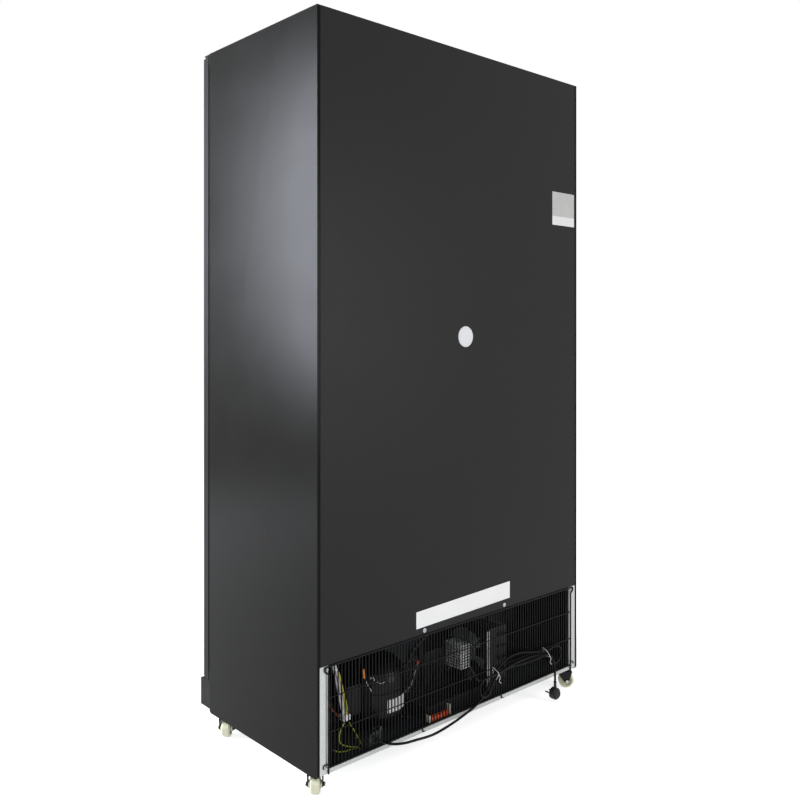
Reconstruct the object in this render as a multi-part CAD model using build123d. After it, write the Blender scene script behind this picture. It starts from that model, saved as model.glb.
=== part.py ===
from build123d import *
from math import ceil, cos, radians, sin, tan
import os

# Upright two-door display refrigerator on four castors, in millimetres.
# The origin is on the floor, under the middle of the outline. The doors face -Y, +Z is up,
# and +X is on the right of a person who stands in front of the doors.

# Cabinet, outside
CABINET_WIDTH = 1080.0
CABINET_HEIGHT = 1950.0
CABINET_DEPTH = 530.0
SHEET = 1.0
PANEL_FLANGE = 8.0
PANEL_CORNER_RADIUS = 10.0
SEAM_WIDTH = 2.0
SEAM_DEPTH = 3.0
TOP_PANEL_DROP = 12.0
SEAT_GAP = 0.3

# How many flat sides stand for a round piece
LARGE_SIDES = 24
ROUND_SIDES = 20
SMALL_SIDES = 8

# Insulated walls and the machine room at the bottom rear
SIDE_WALL = 50.0
BACK_WALL = 50.0
CEILING_WALL = 60.0
FLOOR_WALL = 50.0
STEP_WALL = 54.0
LINER = 1.0
MACHINE_ROOM_HEIGHT = 282.0
MACHINE_ROOM_DEPTH = 268.0
LOW_SPACE_HEIGHT = 90.0

# Front frame around the door openings
FRAME_DEPTH = 10.0
MULLION_WIDTH = 60.0
MULLION_DEPTH = 40.0

# Foam filling port and its cap
PORT_HEIGHT = 1173.0
PORT_DIAMETER = 54.0
CAP_DIAMETER = 61.0
CAP_RIM = 6.0
CAP_RISE = 3.0
CAP_DISH = 1.2

# Base pan
PAN_LIFT = 5.0
PAN_FLANGE = 14.0

# Corner posts beside the rear opening
POST_FACE = 25.0
POST_STEP = 3.0
POST_LIP = 10.0
POST_RETURN = 37.0
POST_TOP_GAP = 2.0

# Wire guard over the rear opening
GRILLE_INSET = 35.0
GRILLE_FRAME_WIRE = 5.0
GRILLE_TOP_GAP = 4.0
GRILLE_EAR = 12.0
GRILLE_EAR_DROP = 10.0
GRILLE_EAR_SLOPE = 10.0
GRILLE_EAR_RADIUS = 5.0
GRILLE_BAR = 2.5
GRILLE_BAR_PITCH = 11.5
GRILLE_RAIL_WIRE = 3.5
GRILLE_RAIL_HEIGHTS = (170.0, 258.0)
GRILLE_HOOK_RISE = 9.5
GRILLE_HOOK_REACH = 16.0
GRILLE_HOOK_DROP = 9.0
GRILLE_FOOT_PLACES = (174.0, -159.0)
GRILLE_FOOT_TURN = 7.0

# White screws of the guard
SCREW_HEAD = 8.0
SCREW_HEAD_RISE = 2.4
SCREW_TOP_DROP = 8.0
SCREW_SIDE_SHIFT = 3.0
SCREW_LOW_RISE = 15.0
WASHER_DIAMETER = 13.0
WASHER_THICKNESS = 1.0
PANEL_SCREW_PLACES = (166.0, -173.0)
PANEL_SCREW_RISE = 9.0

# Plinth grille under the doors
PLINTH_REACH = 50.0
PLINTH_WALL = 1.5
PLINTH_BOTTOM_GAP = 11.0
PLINTH_SLOT_HEIGHT = 7.0
PLINTH_SLOT_PITCH = 14.0
PLINTH_SLOT_ROWS = 4
PLINTH_SLOT_COLUMNS = 6
PLINTH_SLOT_MARGIN = 60.0
PLINTH_SLOT_BRIDGE = 20.0

# Doors
DOOR_GAP = 2.0
DOOR_BACK_GAP = 5.5
DOOR_THICKNESS = 33.0
DOOR_BACK_PART = 16.5
DOOR_EDGE_STEP = 3.5
DOOR_BOTTOM_GAP = 4.0
DOOR_TOP_GAP = 4.0
DOOR_CORNER_RADIUS = 3.0
DOOR_STILE = 45.0
GLASS_THICKNESS = 4.0
GLASS_COVER = 10.0
GLASS_FRONT_LIP = 3.0
GLASS_SPACER = 16.0
GRIP_WIDTH = 18.0
GRIP_DEPTH = 15.0
GRIP_LENGTH = 420.0
GRIP_HEIGHT = 1080.0
GRIP_INSET = 8.0
GRIP_LIP = 5.0
GASKET_WIDTH = 14.0
GASKET_LIP = 6.0
GASKET_BASE = 2.2
GASKET_INSET = 20.0
GASKET_INNER_INSET = 6.0
GASKET_END_INSET = 10.0

# Hinges
HINGE_INSET = 12.0
HINGE_SETBACK = 15.0
HINGE_PIN = 8.0
HINGE_PIN_CLEARANCE = 0.05
HINGE_PIN_LENGTH = 14.0
HINGE_LEAF = 2.5
HINGE_LEAF_GAP = 0.5
HINGE_LEAF_CORNER = 6.0
HINGE_PLATE = 2.0
HINGE_PLATE_WIDTH = 18.0
HINGE_PLATE_HEIGHT = 30.0

# Castors
WHEEL_DIAMETER = 50.0
WHEEL_WIDTH = 25.0
WHEEL_CHAMFER = 4.0
WHEEL_TOP_GAP = 3.5
WHEEL_HUB = 20.0
WHEEL_RIM_DEPTH = 7.0
WHEEL_WEB = 8.0
AXLE_DIAMETER = 8.0
AXLE_CLEARANCE = 0.05
AXLE_HEAD = 12.0
AXLE_HEAD_HEIGHT = 4.0
FORK_THICKNESS = 2.5
FORK_WIDTH = 41.0
FORK_REAR = 20.0
FORK_NOSE = 18.0
FORK_ARM_REAR = 8.0
FORK_CORNER = 10.0
FORK_BOSS_RADIUS = 8.0
FORK_TRAIL = 24.0
SWIVEL_GAP = 0.2
SWIVEL_RACE_HEIGHT = 5.5
SWIVEL_RACE_DIAMETER = 34.0
KINGPIN_DIAMETER = 10.0
KINGPIN_CLEARANCE = 0.05
KINGPIN_HEAD = 15.0
KINGPIN_HEAD_HEIGHT = 2.5
CASTOR_PLATE = 3.5
CASTOR_PLATE_SIZE = 60.0
CASTOR_SIDE_INSET = 45.0
CASTORS = {
    "front_left": (-1, "front", 37.0, 112.0),
    "front_right": (1, "front", 37.0, 44.0),
    "rear_left": (-1, "rear", 40.0, 137.7),
    "rear_right": (1, "rear", 64.0, 47.7),
}

# Compressor
COMPRESSOR_X = 238.0
COMPRESSOR_BACK_GAP = 133.0
COMPRESSOR_RADIUS = 88.0
COMPRESSOR_BOTTOM = 20.0
COMPRESSOR_HEIGHT = 190.0
COMPRESSOR_BOWL = 34.0
COMPRESSOR_DOME = 62.0
COMPRESSOR_SEAM = 3.0
COMPRESSOR_BANDS = 4
COMPRESSOR_SEAM_HEIGHT = 96.0
COMPRESSOR_BASE_PLATE = (224.0, 90.0)
COMPRESSOR_BASE_THICKNESS = 3.0
GROMMET_SPACING = (196.0, 66.0)
GROMMET_DIAMETER = 22.0
GROMMET_WAIST = 16.0
GROMMET_BOLT = 7.0
TERMINAL_COVER = (45.0, 80.0, 82.0)
TERMINAL_COVER_HEIGHT = 70.0
TERMINAL_COVER_RADIUS = 8.0

# Condenser with its fan
COIL_X = (-240.0, -182.0)
COIL_FRONT_GAP = 40.0
COIL_LENGTH = 178.0
COIL_HEIGHT = 190.0
COIL_LIFT = 9.0
COIL_FIN_PITCH = 11.0
COIL_FIN_THICKNESS = 2.0
COIL_SPINE = 10.0
COIL_END_PLATE = 2.0
COIL_TUBE = 9.0
COIL_TUBE_ROWS = 5
COIL_TUBE_PITCH = 36.0
COIL_BEND_SPREAD = 26.0
SHROUD_GAP = 32.0
SHROUD_SHEET = 1.5
SHROUD_HOLE = 172.0
SHROUD_COLLAR = 8.0
FAN_RADIUS = 82.0
FAN_HUB = 50.0
FAN_HUB_DEPTH = 18.0
FAN_BLADES = 5
FAN_BLADE_SWEEP = 24.0
FAN_BLADE_PITCH = 28.0
FAN_BLADE_THICKNESS = 2.0
FAN_SHAFT = 6.0
FAN_SHAFT_CLEARANCE = 0.05
FAN_MOTOR_DIAMETER = 66.0
FAN_MOTOR_LENGTH = 46.0
FAN_MOTOR_GAP = 4.0
FAN_ARM = 6.0

# Drip tray, junction box and cord outlet
TRAY_X = (-110.0, 120.0)
TRAY_DEPTH = 115.0
TRAY_HEIGHT = 40.0
TRAY_WALL = 1.5
TRAY_CORNER = 5.0
TRAY_BACK_GAP = 43.0
JUNCTION_X = (50.0, 140.0)
JUNCTION_DEPTH = 30.0
JUNCTION_HEIGHT = 42.0
JUNCTION_BACK_GAP = 8.0
JUNCTION_RADIUS = 4.0
GLAND_X = 339.25
GLAND_HEIGHT = 101.0
GLAND_BACK_GAP = 10.0
GLAND_FLANGE = 20.0
GLAND_STEM = 12.8
GLAND_CLEARANCE = 0.1
GLAND_NOSE = 5.0
GLAND_SHOULDER = 2.0
GLAND_MOUTH = 1.0
EAR_WIDTH = 40.0
EAR_THICKNESS = 2.0
EAR_RISE = 17.0

# Pipes and wires in the machine room
PIPE = 9.5
CAPILLARY = 6.0
WIRE = 6.0
THIN_WIRE = 4.0
DRYER_DIAMETER = 20.0
DRYER_LENGTH = 60.0
WIRE_CORNER_GAP = 82.0
WIRE_BACK_GAP = 48.0
WIRE_BLOCK_HEIGHT = 112.0
WIRE_BLOCK_SIZE = 22.0
WIRE_END_GAP = 1.5

# Evaporator under the ceiling
EVAPORATOR_HEIGHT = 140.0
EVAPORATOR_SIDE_GAP = 50.0
EVAPORATOR_SETBACK = 142.0
EVAPORATOR_SHEET = 1.5
EVAPORATOR_FAN_X = 220.0
EVAPORATOR_FAN_SETBACK = 90.0
EVAPORATOR_FAN_RADIUS = 78.0
EVAPORATOR_FAN_HOLE = 170.0
EVAPORATOR_FAN_RISE = 17.0
EVAPORATOR_MOTOR = 56.0
EVAPORATOR_MOTOR_LENGTH = 44.0
EVAPORATOR_COIL_DEPTH = 120.0
EVAPORATOR_COIL_BACK_GAP = 16.0
EVAPORATOR_COIL_HEIGHT = 84.0
EVAPORATOR_COIL_INSET = 50.0
EVAPORATOR_FIN_PITCH = 26.0
EVAPORATOR_FIN = 4.0
RETURN_SLOT_COUNT = 12
RETURN_SLOT_WIDTH = 40.0
RETURN_SLOT_LENGTH = 60.0
RETURN_SLOT_BACK_GAP = 5.0
KNOB_X = 60.0
KNOB_DIAMETER = 34.0
KNOB_DEPTH = 14.0
KNOB_GRIP = 8.0
KNOB_GRIP_LENGTH = 30.6
KNOB_SHAFT_REACH = 6.0
KNOB_SHAFT = 6.0
KNOB_CLEARANCE = 0.05
SWITCH_X = -60.0
SWITCH_SIZE = (20.0, 26.0)
SWITCH_BEZEL = 3.0
SWITCH_PROUD = 1.0
SWITCH_DISH = 2.0
SWITCH_DEPTH = 9.0
SWITCH_GAP = 1.0

# Lamps
LAMP_WIDTH = 12.0
LAMP_DEPTH = 16.0
LAMP_BOTTOM_GAP = 230.0
LAMP_TOP_GAP = 180.0

# Shelves
SHELF_COUNT = 5
SHELF_RISE = 13.0
SHELF_THICKNESS = 5.0
SHELF_SIDE_GAP = 6.0
SHELF_BACK_GAP = 7.0
SHELF_BORDER = 8.0
SHELF_SLOTS = 8
SHELF_BAR = 6.0
SHELF_CORNER = 5.0
RAIL_WIDTH = 15.0
RAIL_DEPTH = 3.0
RAIL_CENTRE_OFFSET = 11.5
RAIL_FRONT_SETBACK = 72.0
RAIL_REAR_GAP = 38.0
RAIL_END_GAP = 20.0
CLIP_WIDTH = 8.0
CLIP_TONGUE = 12.0
CLIP_HEIGHT = 9.0
CLIP_THICKNESS = 2.0

# Mains cord, its hank, ties and plug
CORD = 7.0
CORD_SIDES = 6
WIRE_SIDES = 6
FRAME_WIRE_SIDES = 6
BEND_SHARE = 0.45
CORD_ROUTE = (
    (GLAND_X, 283.0, 101.0),
    (GLAND_X, 313.5, 101.0),
    (327.0, 341.0, 102.0),
    (298.0, 354.0, 101.0),
    (245.0, 338.0, 87.0),
    (198.0, 320.0, 71.5),
    (150.0, 307.0, 60.5),
    (100.0, 300.0, 59.5),
    (50.0, 298.0, 65.5),
    (2.0, 298.0, 76.0),
    (-40.0, 298.0, 86.6),
    (-72.0, 298.0, 107.0),
    (-84.5, 298.0, 120.5),
)
HANK_OUTWARD = (
    (-84.5, 298.0, 120.5),
    (-97.0, 298.0, 134.0),
    (-120.0, 298.0, 161.8),
    (-148.0, 298.0, 180.0),
    (-188.0, 298.0, 192.0),
    (-232.0, 298.0, 192.0),
    (-280.0, 298.0, 182.0),
    (-328.0, 298.0, 169.0),
    (-366.0, 298.0, 163.8),
)
HANK_RETURN = (
    (-377.0, 298.0, 149.0),
    (-356.0, 298.0, 157.0),
    (-318.0, 299.0, 163.0),
    (-270.0, 302.0, 168.0),
    (-222.0, 304.0, 170.0),
    (-175.0, 306.0, 166.0),
    (-140.0, 306.0, 161.0),
    (-120.0, 306.0, 159.0),
)
HANK_LAST = (
    (-113.0, 299.5, 140.0),
    (-132.0, 298.0, 152.0),
    (-168.0, 298.0, 159.0),
    (-215.0, 300.0, 158.0),
    (-268.0, 303.0, 155.0),
    (-318.0, 306.5, 156.5),
    (-352.0, 308.0, 159.0),
    (-372.0, 309.5, 151.0),
    (-384.0, 312.0, 131.0),
    (-386.0, 313.5, 119.0),
)
HANK_LOOP_RADIUS = 29.0
FAR_LOOP_CENTRE = (-414.0, 142.0)
FAR_LOOP_ANGLES = (75.0, 120.0, 165.0, 210.0, 255.0, 300.0, 340.0)
FAR_LOOP_Y = 298.0
NEAR_LOOP_CENTRE = (-70.0, 131.0)
NEAR_LOOP_ANGLES = (105.0, 60.0, 15.0, -30.0, -75.0, -120.0, -165.0)
NEAR_LOOP_Y = (306.0, 306.0, 306.0, 306.0, 306.0, 305.0, 302.0)
HANK_LEAST_GAP = 0.4
HANK_SAMPLE = 3.0
HANK_APART = 32.0
TAIL_ROUTE = (
    (-386.0, 313.5, 119.0),
    (-388.0, 315.0, 107.0),
    (-388.0, 316.0, 86.0),
    (-388.0, 316.0, 66.0),
)
PLUG_DIAMETER = 37.0
PLUG_THICKNESS = 24.0
PLUG_DROP = 38.0
PLUG_NECK = 21.0
PLUG_NECK_WIDTH = 13.0
PLUG_NECK_TAPER = 1.0
PLUG_COLLAR = 10.0
PLUG_COLLAR_LENGTH = 3.5
PLUG_EDGE = 3.0
PIN_DIAMETER = 4.8
PIN_LENGTH = 19.0
PIN_SPACING = 19.0
TIE_PLACES = (-120.75, -362.25)
TIE_WIRE = 1.6
TIE_SIDES = 5
TIE_CLEARANCE = 0.7
TIE_TAIL = 10.0
TIE_OPENING = 0.02

# Levels and depths that follow from the sizes above
HALF_WIDTH = CABINET_WIDTH / 2
INSIDE = HALF_WIDTH - SHEET
CASTOR_HEIGHT = WHEEL_DIAMETER + WHEEL_TOP_GAP + FORK_THICKNESS + SWIVEL_RACE_HEIGHT + CASTOR_PLATE
Z_BASE = CASTOR_HEIGHT - PAN_LIFT
Z_TOP = Z_BASE + CABINET_HEIGHT
OUTLINE_DEPTH = PLINTH_REACH + CABINET_DEPTH + GRILLE_FRAME_WIRE - SHEET
Y_PLINTH = -OUTLINE_DEPTH / 2
Y_FRONT = Y_PLINTH + PLINTH_REACH
Y_BACK = Y_FRONT + CABINET_DEPTH
Y_SHEET = Y_BACK - SHEET
Z_PAN = Z_BASE + PAN_LIFT
Z_FLOOR = Z_PAN + SHEET
Z_LOW_CEILING = Z_BASE + LOW_SPACE_HEIGHT
Z_MACHINE_CEILING = Z_BASE + MACHINE_ROOM_HEIGHT
Y_MACHINE_FRONT = Y_BACK - MACHINE_ROOM_DEPTH
X_CAVITY = HALF_WIDTH - SIDE_WALL
Y_CAVITY_BACK = Y_BACK - BACK_WALL
Y_FRAME_BACK = Y_FRONT + FRAME_DEPTH
Y_MULLION_BACK = Y_FRONT + MULLION_DEPTH
Y_STEP = Y_MACHINE_FRONT - FLOOR_WALL
Z_CAVITY_FLOOR = Z_LOW_CEILING + FLOOR_WALL
Z_CAVITY_TOP = Z_TOP - CEILING_WALL
Z_HUMP = Z_MACHINE_CEILING + STEP_WALL + LINER
Z_PANEL_TOP = Z_TOP - SHEET
Z_FOAM_TOP = Z_PANEL_TOP - SHEET
X_BACK_PANEL = HALF_WIDTH - PANEL_FLANGE - SEAM_WIDTH
X_POST_FACE = HALF_WIDTH - POST_FACE - SHEET * 2
GRILLE_SIDE = HALF_WIDTH - GRILLE_INSET
Z_GRILLE_BOTTOM = Z_PAN + PAN_FLANGE + GRILLE_FRAME_WIRE / 2
Z_GRILLE_TOP = Z_MACHINE_CEILING - GRILLE_TOP_GAP
Y_BARS = Y_SHEET - GRILLE_BAR
Y_WIRE = Y_SHEET + GRILLE_FRAME_WIRE / 2
Y_EAR = Y_BACK - GLAND_BACK_GAP
Z_DOOR_BOTTOM = Z_LOW_CEILING + DOOR_BOTTOM_GAP
Z_DOOR_TOP = Z_TOP - DOOR_TOP_GAP
Y_DOOR_BACK = Y_FRONT - DOOR_BACK_GAP
Y_DOOR_MIDDLE = Y_DOOR_BACK - DOOR_BACK_PART
Y_DOOR_FRONT = Y_DOOR_BACK - DOOR_THICKNESS
X_HINGE = HALF_WIDTH - HINGE_INSET
Y_HINGE = Y_DOOR_BACK - HINGE_SETBACK
Z_AXLE = WHEEL_DIAMETER / 2
Z_FORK_TOP = WHEEL_DIAMETER + WHEEL_TOP_GAP + FORK_THICKNESS
Y_COMPRESSOR = Y_BACK - COMPRESSOR_BACK_GAP
Z_COMPRESSOR = Z_FLOOR + COMPRESSOR_BOTTOM
Y_COIL_FRONT = Y_MACHINE_FRONT + COIL_FRONT_GAP
Y_COIL_BACK = Y_COIL_FRONT + COIL_LENGTH
Z_COIL = Z_FLOOR + COIL_LIFT
X_SHROUD = COIL_X[1] + SHROUD_GAP
Y_FAN = (Y_COIL_FRONT + Y_COIL_BACK) / 2
Z_FAN = Z_COIL + COIL_HEIGHT / 2
Z_EVAPORATOR = Z_CAVITY_TOP - EVAPORATOR_HEIGHT
X_EVAPORATOR = X_CAVITY - EVAPORATOR_SIDE_GAP
Y_EVAPORATOR_FRONT = Y_FRONT + EVAPORATOR_SETBACK
Y_EVAPORATOR_BACK = Y_CAVITY_BACK - SHELF_BACK_GAP
Y_EVAPORATOR_FAN = Y_EVAPORATOR_FRONT + EVAPORATOR_FAN_SETBACK
Y_EVAPORATOR_COIL = Y_EVAPORATOR_BACK - EVAPORATOR_COIL_BACK_GAP
Y_RETURN_SLOT = Y_EVAPORATOR_COIL - RETURN_SLOT_BACK_GAP
Z_CONTROLS = Z_EVAPORATOR + EVAPORATOR_HEIGHT / 2
Y_RAIL_FRONT = Y_FRONT + RAIL_FRONT_SETBACK
Y_RAIL_REAR = Y_CAVITY_BACK - RAIL_REAR_GAP
Z_FIRST_SHELF = Z_HUMP + SHELF_RISE
SHELF_PITCH = (Z_EVAPORATOR - Z_FIRST_SHELF) / SHELF_COUNT
X_SHELF_INNER = RAIL_CENTRE_OFFSET - SHELF_SIDE_GAP
X_SHELF_OUTER = X_CAVITY - SHELF_SIDE_GAP
Y_SHELF_FRONT = Y_MULLION_BACK + SHELF_BACK_GAP
Y_SHELF_BACK = Y_CAVITY_BACK - SHELF_BACK_GAP


def block(x0, x1, y0, y1, z0, z1):
    """A box given by its two limits along each axis."""
    centre = Vector((x0 + x1) / 2, (y0 + y1) / 2, (z0 + z1) / 2)
    return Pos(centre) * Box(abs(x1 - x0), abs(y1 - y0), abs(z1 - z0))


def rod(start, end, diameter):
    """A round bar between two points."""
    axis = Vector(*end) - Vector(*start)
    return extrude(Plane(origin=start, z_dir=axis) * Circle(diameter / 2), axis.length)


def group(pieces):
    """Several pieces that share one node and stay separate solids."""
    return Compound([solid for piece in pieces for solid in piece.solids()])


def mirrored(piece):
    """The same piece on the other side of the middle plane."""
    return mirror(piece, about=Plane.YZ)


def bend_radii(points):
    """For each corner of a route, the largest arc that its two runs leave room for."""
    radii = []
    for before, corner, after in zip(points, points[1:], points[2:]):
        run_in = Vector(*corner) - Vector(*before)
        run_out = Vector(*after) - Vector(*corner)
        half_turn = radians(run_in.get_angle(run_out)) / 2
        radii.append(BEND_SHARE * min(run_in.length, run_out.length) / tan(half_turn))
    return radii


def tube(points, diameter, sides, radii=None):
    """A faceted round tube along straight runs joined by tangent arcs."""
    if len(points) > 2:
        path = FilletPolyline(*points, radius=radii or bend_radii(points))
    else:
        path = Polyline(*points)
    section = Plane(origin=path @ 0, z_dir=path % 0) * RegularPolygon(diameter / 2, sides)
    return sweep(section, path=path)


def turned(profile, sides, origin=(0, 0, 0), along=(0, 0, 1)):
    """A faceted body of revolution from (radius, distance along the axis) points."""
    turns = [radians(360 * side / sides) for side in range(sides)]
    rings = [
        [(radius * cos(turn), radius * sin(turn), height) for turn in turns] for radius, height in profile
    ]
    faces = []
    for ring, following in zip(rings, [*rings[1:], rings[0]]):
        for side in range(sides):
            corners = dict.fromkeys((ring[side - 1], ring[side], following[side], following[side - 1]))
            if len(corners) > 2:
                faces.append(Face(Wire.make_polygon([Vector(*corner) for corner in corners])))
    return Plane(origin=origin, z_dir=along) * Solid(Shell(faces))


def ring_plate(x0, x1, y0, y1, z0, z1, border):
    """A rectangular ring that stands in the XZ plane."""
    hole = block(x0 + border, x1 - border, y0, y1, z0 + border, z1 - border)
    return block(x0, x1, y0, y1, z0, z1) - hole


# Cabinet shell


def side_outline(inset):
    """The side panel's outline, as (depth, height), with its lower corners rounded."""
    outline = make_face(
        Polyline(
            (Y_FRONT + inset, Z_BASE + inset),
            (Y_BACK - inset, Z_BASE + inset),
            (Y_BACK - inset, Z_TOP - inset),
            (Y_FRONT + inset, Z_TOP - inset),
            close=True,
        )
    )
    lower_corners = outline.vertices().sort_by(Axis.Y)[:2]
    return fillet(lower_corners, PANEL_CORNER_RADIUS - inset)


def side_panel():
    """A folded tray whose flanges turn inwards, open at the front."""
    flange_edge = Plane.YZ.offset(HALF_WIDTH - PANEL_FLANGE)
    tray = extrude(flange_edge * side_outline(0), PANEL_FLANGE)
    hollow = extrude(flange_edge * side_outline(SHEET), PANEL_FLANGE - SHEET)
    mouth = block(
        HALF_WIDTH - PANEL_FLANGE,
        INSIDE,
        Y_FRONT,
        Y_FRONT + PANEL_CORNER_RADIUS,
        Z_BASE + PANEL_CORNER_RADIUS,
        Z_PANEL_TOP,
    )
    return tray - hollow - mouth


def top_panel():
    """The roof sheet with its rear edge turned down."""
    sheet = block(-INSIDE, INSIDE, Y_FRONT, Y_SHEET, Z_FOAM_TOP, Z_PANEL_TOP)
    return sheet + top_panel_drop()


def top_panel_drop():
    """The turned-down rear edge of the roof sheet."""
    return block(-INSIDE, INSIDE, Y_SHEET - SHEET, Y_SHEET, Z_FOAM_TOP - TOP_PANEL_DROP, Z_FOAM_TOP)


def back_panel():
    """The flat rear sheet with the round filling port."""
    sheet = block(-X_BACK_PANEL, X_BACK_PANEL, Y_SHEET, Y_BACK, Z_MACHINE_CEILING, Z_TOP)
    return sheet - rod((0, Y_SHEET, PORT_HEIGHT), (0, Y_BACK, PORT_HEIGHT), PORT_DIAMETER)


def foam_port_cap():
    """A dished white cap with a raised rim, plugged into the port."""
    stub = PORT_DIAMETER / 2 - SEAT_GAP / 3
    edge = CAP_DIAMETER / 2
    profile = (
        (0, -SHEET),
        (stub, -SHEET),
        (stub, 0),
        (edge, 0),
        (edge, CAP_RISE * 0.6),
        (edge - CAP_RIM * 0.3, CAP_RISE),
        (edge - CAP_RIM * 0.8, CAP_RISE),
        (edge - CAP_RIM, CAP_RISE - CAP_DISH),
        (0, CAP_RISE - CAP_DISH / 2),
    )
    return turned(profile, LARGE_SIDES, (0, Y_BACK, PORT_HEIGHT), (0, 1, 0))


def cavity(grow):
    """The refrigerated space with its step over the machine room, grown outwards."""
    outline = make_face(
        Polyline(
            (Y_FRAME_BACK, Z_CAVITY_FLOOR - grow),
            (Y_STEP + grow, Z_CAVITY_FLOOR - grow),
            (Y_STEP + grow, Z_HUMP - grow),
            (Y_CAVITY_BACK + grow, Z_HUMP - grow),
            (Y_CAVITY_BACK + grow, Z_CAVITY_TOP + grow),
            (Y_FRAME_BACK, Z_CAVITY_TOP + grow),
            close=True,
        )
    )
    half = X_CAVITY + grow
    return extrude(Plane.YZ.offset(-half) * outline, 2 * half)


def inner_liner():
    """The thin inner skin, open at the front."""
    return cavity(LINER) - cavity(0)


def insulation_foam():
    """The foam between the outer sheets, the liner and the machine room."""
    foam = block(-INSIDE, INSIDE, Y_FRAME_BACK, Y_SHEET, Z_LOW_CEILING + SHEET, Z_FOAM_TOP)
    foam -= cavity(LINER)
    foam -= block(-INSIDE, INSIDE, Y_MACHINE_FRONT, Y_SHEET, Z_BASE, Z_MACHINE_CEILING)
    foam -= top_panel_drop()
    for side in (-1, 1):
        foam -= block(
            side * X_BACK_PANEL,
            side * (X_BACK_PANEL + SEAM_WIDTH),
            Y_SHEET - SEAM_DEPTH,
            Y_SHEET,
            Z_MACHINE_CEILING,
            Z_FOAM_TOP,
        )
    return foam


def machine_bulkhead():
    """The bent sheet that roofs the low space and the machine room."""
    low = block(-INSIDE, INSIDE, Y_FRAME_BACK, Y_MACHINE_FRONT, Z_LOW_CEILING, Z_LOW_CEILING + SHEET)
    wall = block(
        -INSIDE, INSIDE, Y_MACHINE_FRONT, Y_MACHINE_FRONT + SHEET, Z_LOW_CEILING, Z_MACHINE_CEILING
    )
    roof = block(-INSIDE, INSIDE, Y_MACHINE_FRONT, Y_SHEET, Z_MACHINE_CEILING - SHEET, Z_MACHINE_CEILING)
    return low + wall + roof


def front_frame():
    """The frame that the doors close against, with the mullion between the two openings."""
    frame = block(-INSIDE, INSIDE, Y_FRONT, Y_FRAME_BACK, Z_LOW_CEILING, Z_FOAM_TOP)
    frame -= block(-X_CAVITY, X_CAVITY, Y_FRONT, Y_FRAME_BACK, Z_CAVITY_FLOOR, Z_CAVITY_TOP)
    mullion = block(
        -MULLION_WIDTH / 2,
        MULLION_WIDTH / 2,
        Y_FRONT,
        Y_MULLION_BACK,
        Z_CAVITY_FLOOR,
        Z_CAVITY_TOP,
    )
    return frame + mullion


def base_pan():
    """The galvanised floor of the machine room, with low flanges and the cord outlet's ear."""
    flange_top = Z_PAN + PAN_FLANGE
    front = Y_FRONT + SHEET
    pan = block(-INSIDE, INSIDE, front, Y_SHEET, Z_PAN, Z_FLOOR)
    pan += block(-INSIDE, INSIDE, front, front + SHEET, Z_PAN, flange_top)
    pan += block(-X_POST_FACE, X_POST_FACE, Y_SHEET - SHEET, Y_SHEET, Z_PAN, flange_top)
    for side in (-1, 1):
        pan += block(
            side * (INSIDE - SHEET),
            side * INSIDE,
            front,
            Y_SHEET - POST_RETURN - SEAT_GAP,
            Z_PAN,
            flange_top,
        )
    return (pan & cabinet_core()) + gland_ear()


def cabinet_core():
    """The room between the side panels, with their rounded lower corners."""
    return extrude(Plane.YZ.offset(-INSIDE) * side_outline(SHEET), 2 * INSIDE)


def gland_ear():
    """The upright ear that holds the cord's outlet behind the guard."""
    ear = block(
        GLAND_X - EAR_WIDTH / 2,
        GLAND_X + EAR_WIDTH / 2,
        Y_EAR - EAR_THICKNESS,
        Y_EAR,
        Z_PAN,
        GLAND_HEIGHT + EAR_RISE,
    )
    top_edges = ear.edges().filter_by(Axis.Y).group_by(Axis.Z)[-1]
    ear = fillet(top_edges, EAR_RISE / 2)
    hole = GLAND_STEM + 2 * GLAND_CLEARANCE
    front = (GLAND_X, Y_EAR - EAR_THICKNESS, GLAND_HEIGHT)
    return ear - rod(front, (GLAND_X, Y_EAR, GLAND_HEIGHT), hole)


def corner_post():
    """A folded galvanised strip: a return along the side panel, a face, a step and a lip."""
    top = Z_MACHINE_CEILING - POST_TOP_GAP
    post = block(INSIDE - SHEET, INSIDE, Y_SHEET - POST_RETURN, Y_SHEET, Z_FLOOR, top)
    post += block(X_POST_FACE, INSIDE, Y_SHEET - SHEET, Y_SHEET, Z_FLOOR, top)
    post += block(X_POST_FACE, X_POST_FACE + SHEET, Y_SHEET - POST_STEP, Y_SHEET, Z_FLOOR, top)
    lip_edge = X_POST_FACE - POST_LIP
    lip_y = Y_SHEET - POST_STEP
    post += block(lip_edge, X_POST_FACE + SHEET, lip_y - SHEET, lip_y, Z_PAN + PAN_FLANGE, top)
    return post & cabinet_core()


# Wire guard


def grille_ladder():
    """The upright bars of the guard with the strips that tie their ends."""
    half_count = int((GRILLE_SIDE - GRILLE_FRAME_WIRE) / GRILLE_BAR_PITCH)
    half_width = half_count * GRILLE_BAR_PITCH + GRILLE_BAR / 2
    reach = GRILLE_FRAME_WIRE / 2
    ladder = block(-half_width, half_width, Y_BARS, Y_SHEET, Z_GRILLE_BOTTOM - reach, Z_GRILLE_TOP + reach)
    slots = [
        block(
            (place + 0.5) * GRILLE_BAR_PITCH - (GRILLE_BAR_PITCH - GRILLE_BAR) / 2,
            (place + 0.5) * GRILLE_BAR_PITCH + (GRILLE_BAR_PITCH - GRILLE_BAR) / 2,
            Y_BARS,
            Y_SHEET,
            Z_GRILLE_BOTTOM + reach,
            Z_GRILLE_TOP - reach,
        )
        for place in range(-half_count, half_count)
    ]
    return ladder - group(slots)


def straight_wire(half_length, y, z, diameter, sides):
    """A level wire across the guard."""
    return tube(((-half_length, y, z), (half_length, y, z)), diameter, sides)


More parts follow.
